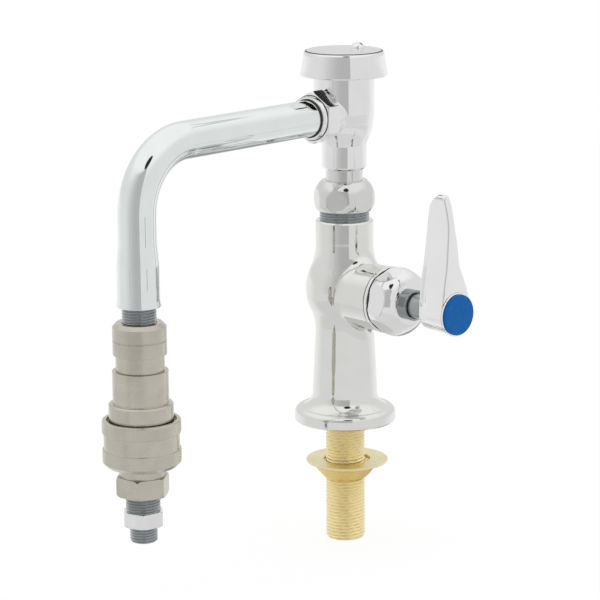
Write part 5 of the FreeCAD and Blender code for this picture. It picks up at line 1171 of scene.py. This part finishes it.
def buildWorld(s):
    world = bpy.data.worlds.new("studio")
    bpy.context.scene.world = world
    world.use_nodes = True
    tree = world.node_tree
    tree.nodes.clear()
    calc, step = partial(maths, tree), partial(smoothStep, tree)
    plus, minus, times, _ = fourRules(tree)

    def between(value, low, high, softLow, softHigh):
        return times(step(value, low, low + softLow), step(value, high, high - softHigh))

    def towards(level, target, amount):
        return plus(level, times(minus(target, level), amount))

    way = addNode(tree, "ShaderNodeVectorRotate", {
        "Vector": addNode(tree, "ShaderNodeTexCoord")["Generated"], "Angle": -math.radians(view["turn"])},
        rotation_type="Z_AXIS")[0]
    split = addNode(tree, "ShaderNodeSeparateXYZ", {0: way})
    azimuth = calc("DEGREES", calc("ARCTAN2", split["X"], times(split["Y"], -1)))
    elevation = calc("DEGREES", calc("ARCSINE", split["Z"]))
    level = towards(s.level, s.below, step(elevation, *s.belowFrom))
    back = step(calc("ABSOLUTE", azimuth), *s.behindFrom)
    level = towards(level, s.behind, times(back, between(elevation, *s.behindBand)))
    level = towards(level, s.above, step(elevation, *s.aboveFrom))
    for across, upright, bright in s.bands:
        level = towards(level, bright, times(between(azimuth, *across), between(elevation, *upright)))
    azimuthAt, elevationAt, half, soft, bright = s.opening
    a, e = math.radians(azimuthAt), math.radians(elevationAt)
    middle = (math.sin(a) * math.cos(e), -math.cos(a) * math.cos(e), math.sin(e))
    aim = addNode(tree, "ShaderNodeVectorMath", {0: way, 1: middle}, operation="DOT_PRODUCT")
    off = calc("DEGREES", calc("ARCCOSINE", aim["Value"]))
    level = towards(level, bright, step(off, half + soft / 2, half - soft / 2))
    light = addNode(tree, "ShaderNodeBackground", {"Color": level})[0]
    white = addNode(tree, "ShaderNodeBackground", {"Color": (1, 1, 1, 1)})[0]
    seen = addNode(tree, "ShaderNodeLightPath")["Is Camera Ray"]
    addNode(tree, "ShaderNodeOutputWorld", {0: mixShader(tree, seen, light, white)})


buildWorld(Sizes(**studio))

# low curved cards in front of the column, seen only in the polished metal
lowCards = {
    "distance": 0.3, "bottom": -0.066, "top": 0.034, "soft": 0.016, "bright": 0.8,
    "arcs": [(-100, -48), (-40, 100)], "steps": 48,
}


def buildLowCards(s):
    material, tree = newMaterial("lowCard")
    glow = addNode(tree, "ShaderNodeEmission", {"Color": (s.bright, s.bright, s.bright, 1)})[0]
    clear = addNode(tree, "ShaderNodeBsdfTransparent")[0]
    height = addNode(tree, "ShaderNodeSeparateXYZ", {0: objectPlace(tree)})["Z"]
    finishMaterial(tree, mixShader(tree, smoothStep(tree, height, s.top - s.soft, s.top), glow, clear))
    for number, (start, end) in enumerate(s.arcs):
        verts, faces = [], []
        for step in range(s.steps + 1):
            angle = math.radians(start + (end - start) * step / s.steps + view["turn"])
            x, y = math.sin(angle) * s.distance, -math.cos(angle) * s.distance
            verts += [(x, y, s.bottom), (x, y, s.top)]
            if step:
                faces.append((2 * step - 2, 2 * step, 2 * step + 1, 2 * step - 1))
        mesh = bpy.data.meshes.new("lowCard%d" % number)
        mesh.from_pydata(verts, [], faces)
        mesh.materials.append(material)
        card = bpy.data.objects.new("lowCard%d" % number, mesh)
        bpy.context.scene.collection.objects.link(card)
        card.visible_camera = card.visible_diffuse = card.visible_shadow = card.visible_transmission = False


buildLowCards(Sizes(**lowCards))

floor = {
    "radius": 1.4, "below": 0.0002, "glow": 0.9, "colour": (0.8, 0.8, 0.8), "shadowed": (0.12, 0.12, 0.12),
}


def buildFloor(s):
    # white to the camera with a faint shadow, plain pale to everything else, open when seen from below
    bpy.ops.mesh.primitive_circle_add(vertices=128, radius=s.radius, fill_type="NGON",
                                      location=(0, 0, cadBox[0][2] - s.below))
    ground = bpy.context.active_object
    ground.name = "studioFloor"
    material, tree = newMaterial("studioFloor")
    glow = addNode(tree, "ShaderNodeEmission", {"Strength": s.glow})[0]
    pale, shaded = (addNode(tree, "ShaderNodeBsdfDiffuse", {"Color": (*colour, 1)})[0]
                    for colour in (s.colour, s.shadowed))
    lit = addNode(tree, "ShaderNodeAddShader", {0: glow, 1: shaded})[0]
    top = mixShader(tree, addNode(tree, "ShaderNodeLightPath")["Is Camera Ray"], pale, lit)
    underneath = addNode(tree, "ShaderNodeNewGeometry")["Backfacing"]
    finishMaterial(tree, mixShader(tree, underneath, top, addNode(tree, "ShaderNodeBsdfTransparent")[0]))
    ground.data.materials.append(material)
    ground.visible_glossy = False


buildFloor(Sizes(**floor))
bpy.context.scene.view_settings.view_transform = "Standard"
print("camera and surroundings made")
